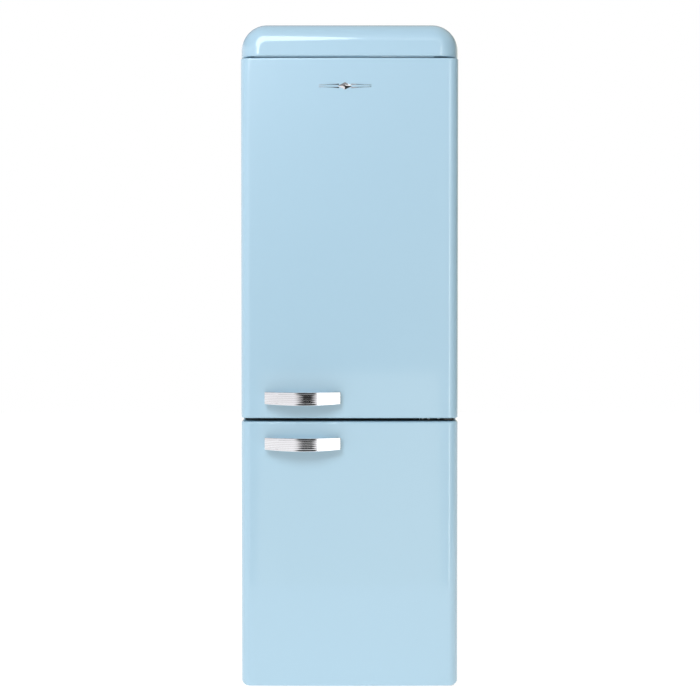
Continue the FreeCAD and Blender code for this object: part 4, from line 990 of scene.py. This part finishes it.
def surround():
    """White where the camera looks. For light and reflections it is a room that depends on direction."""
    world = bpy.data.worlds.new("studio")
    bpy.context.scene.world = world
    world.use_nodes = True
    tree = world.node_tree
    tree.nodes.clear()
    direction = add_node(tree, "ShaderNodeTexCoord").outputs["Generated"]
    part = add_node(tree, "ShaderNodeSeparateXYZ", {"Vector": direction})

    def maths(kind, first, second=0.0):
        return add_node(tree, "ShaderNodeMath", {0: first, 1: second}, operation=kind).outputs[0]

    def smooth(value, start, end):
        return add_node(tree, "ShaderNodeMapRange", {"Value": value, "From Min": start, "From Max": end},
                        interpolation_type="SMOOTHSTEP").outputs["Result"]

    azimuth = maths("ARCTAN2", part.outputs["X"], maths("MULTIPLY", part.outputs["Y"], -1.0))
    # the dark place is an oval: away from eye level, directions move outwards from its middle
    height = maths("DIVIDE", part.outputs["Z"], DARK_HEIGHT)
    widen = maths("ADD", maths("MULTIPLY", height, height), 1.0)
    offset = maths("MULTIPLY", maths("SUBTRACT", azimuth, DARK_MIDDLE), widen)
    oval = maths("MAXIMUM", maths("ADD", offset, DARK_MIDDLE), DARK_LEFT)
    oval = maths("MINIMUM", oval, DARK_RIGHT)
    near = maths("LESS_THAN", maths("ABSOLUTE", azimuth), DARK_RIGHT)
    place = add_node(tree, "ShaderNodeMix", {"Factor": near, "A": azimuth, "B": oval}).outputs[0]
    turn = maths("MULTIPLY_ADD", place, 0.5 / math.pi)
    turn.node.inputs[2].default_value = 0.5
    curve = add_node(tree, "ShaderNodeFloatCurve", {"Value": turn})
    line = curve.mapping.curves[0]
    marks = [((angle + 180) / 360, bright) for angle, bright in ROOM]
    line.points[0].location, line.points[1].location = marks[0], marks[-1]
    for mark in marks[1:-1]:
        line.points.new(*mark)
    for point in line.points:
        point.handle_type = "VECTOR"
    curve.mapping.update()
    # between 16 and 25 degrees above eye level the walls give way to a ceiling
    above = smooth(part.outputs["Z"], 0.27, 0.42)
    ceiling = maths("MULTIPLY_ADD", smooth(part.outputs["Z"], 0.45, 0.75), 0.35)
    ceiling.node.inputs[2].default_value = 0.2
    room = add_node(tree, "ShaderNodeMix", {"Factor": above, "A": curve.outputs[0], "B": ceiling}).outputs[0]
    warm = smooth(azimuth, math.radians(15), math.radians(60))
    tint = blend_colours(tree, warm, "#fffbfd", "#fffcea")
    light = add_node(tree, "ShaderNodeBackground", {"Color": tint, "Strength": room})
    seen = add_node(tree, "ShaderNodeBackground", {"Color": (1, 1, 1, 1), "Strength": 1.0})
    rays = add_node(tree, "ShaderNodeLightPath").outputs["Is Camera Ray"]
    mixed = add_node(tree, "ShaderNodeMixShader", {0: rays, 1: light.outputs[0], 2: seen.outputs[0]})
    add_node(tree, "ShaderNodeOutputWorld", {"Surface": mixed.outputs[0]})


surround()

# %% [markdown]
# ## Lights
# The light is a photographer's. One large umbrella stands high on the left. On the right a
# narrow strip only draws a line in the gloss, and a faint card lifts the cap. A low fill
# brightens the foot of the doors. Chrome burns out under these lamps, so black flags keep
# most of them off it, and a card of its own lights it from the side.

# %% Softboxes
def softbox(name, target, azimuth, elevation, roll, distance, width, height, radiance,
            shape="RECTANGLE", colour="#ffffff"):
    """An area light in a direction from a target, facing it. Its power is radiance x area x pi."""
    light = bpy.data.lights.new(name, "AREA")
    light.shape = shape
    light.size, light.size_y = width, height
    light.energy = radiance * width * height * math.pi * (math.pi / 4 if shape == "ELLIPSE" else 1)
    light.color = linear(colour)[:3]
    lamp = new_object(name, light)
    a, e = math.radians(azimuth), math.radians(elevation)
    away = Vector((math.sin(a) * math.cos(e), -math.cos(a) * math.cos(e), math.sin(e)))
    lamp.location = Vector(target) + away * distance
    turned = away.to_track_quat("Z", "Y") @ Quaternion((0, 0, 1), math.radians(roll))
    lamp.rotation_euler = turned.to_euler()
    print(name, "power", round(light.energy), "W at", [round(v, 2) for v in lamp.location])
    return lamp


DOORS_Y = DOOR_FRONT * MM
key = softbox("key_umbrella", (-0.15, DOORS_Y, 1.80), azimuth=-15.6, elevation=27.5, roll=-10,
              distance=4.2, width=2.45, height=2.6, radiance=8.2, shape="ELLIPSE", colour="#f2f8ff")
right_strip = softbox("right_strip", (0.27, DOORS_Y, 0.9), azimuth=12.5, elevation=0, roll=0,
                      distance=3.1, width=0.4, height=3.2, radiance=5.0, colour="#fffdf4")
right_strip.visible_diffuse = False
low_fill = softbox("low_fill", (0, DOORS_Y, 0.42), azimuth=0, elevation=-9, roll=0,
                   distance=3.0, width=1.2, height=1.6, radiance=1.0, colour="#fff5de")
softbox("faint_card", (0.12, DOORS_Y, 1.80), azimuth=17, elevation=27, roll=8,
        distance=4.2, width=2.2, height=0.7, radiance=1.2)
chrome_card = softbox("chrome_card", (-0.13, DOORS_Y, 0.75), azimuth=38, elevation=2, roll=0,
                      distance=3.4, width=2.4, height=3.4, radiance=1.2)
CHROME_PIECES = ("fridge_handle_casting", "freezer_handle_casting", "ornament")


def flag(lamp, state):
    """Keeps a lamp off the chrome, or on nothing but the chrome, as a studio does with black flags."""
    group = bpy.data.collections.new(f"{lamp.name}_flag")
    for name in CHROME_PIECES:
        group.objects.link(bpy.data.objects[name])
    lamp.light_linking.receiver_collection = group
    for entry in group.collection_objects:
        entry.light_linking.link_state = state


for lamp in (key, low_fill, right_strip):
    flag(lamp, "EXCLUDE")
flag(chrome_card, "INCLUDE")

# %% [markdown]
# ## Camera
# It stands straight in front of the doors, a little higher than the middle, and looks
# slightly down. The small shift moves the picture without turning the camera.

# %% Camera
CAMERA_DISTANCE, CAMERA_HEIGHT = 3.3, 1.05       # metres from the doors and above the floor
LOOK_DOWN = 1.2                                  # degrees
camera_data = bpy.data.cameras.new("camera")
camera_data.lens = 61.77
camera_data.shift_y = -0.0155
camera = new_object("camera", camera_data)
camera.location = (0.0011, DOORS_Y - CAMERA_DISTANCE, CAMERA_HEIGHT)
camera.rotation_euler = (math.radians(90 - LOOK_DOWN), 0, 0)
bpy.context.scene.camera = camera
bpy.context.scene.view_settings.view_transform = "Standard"
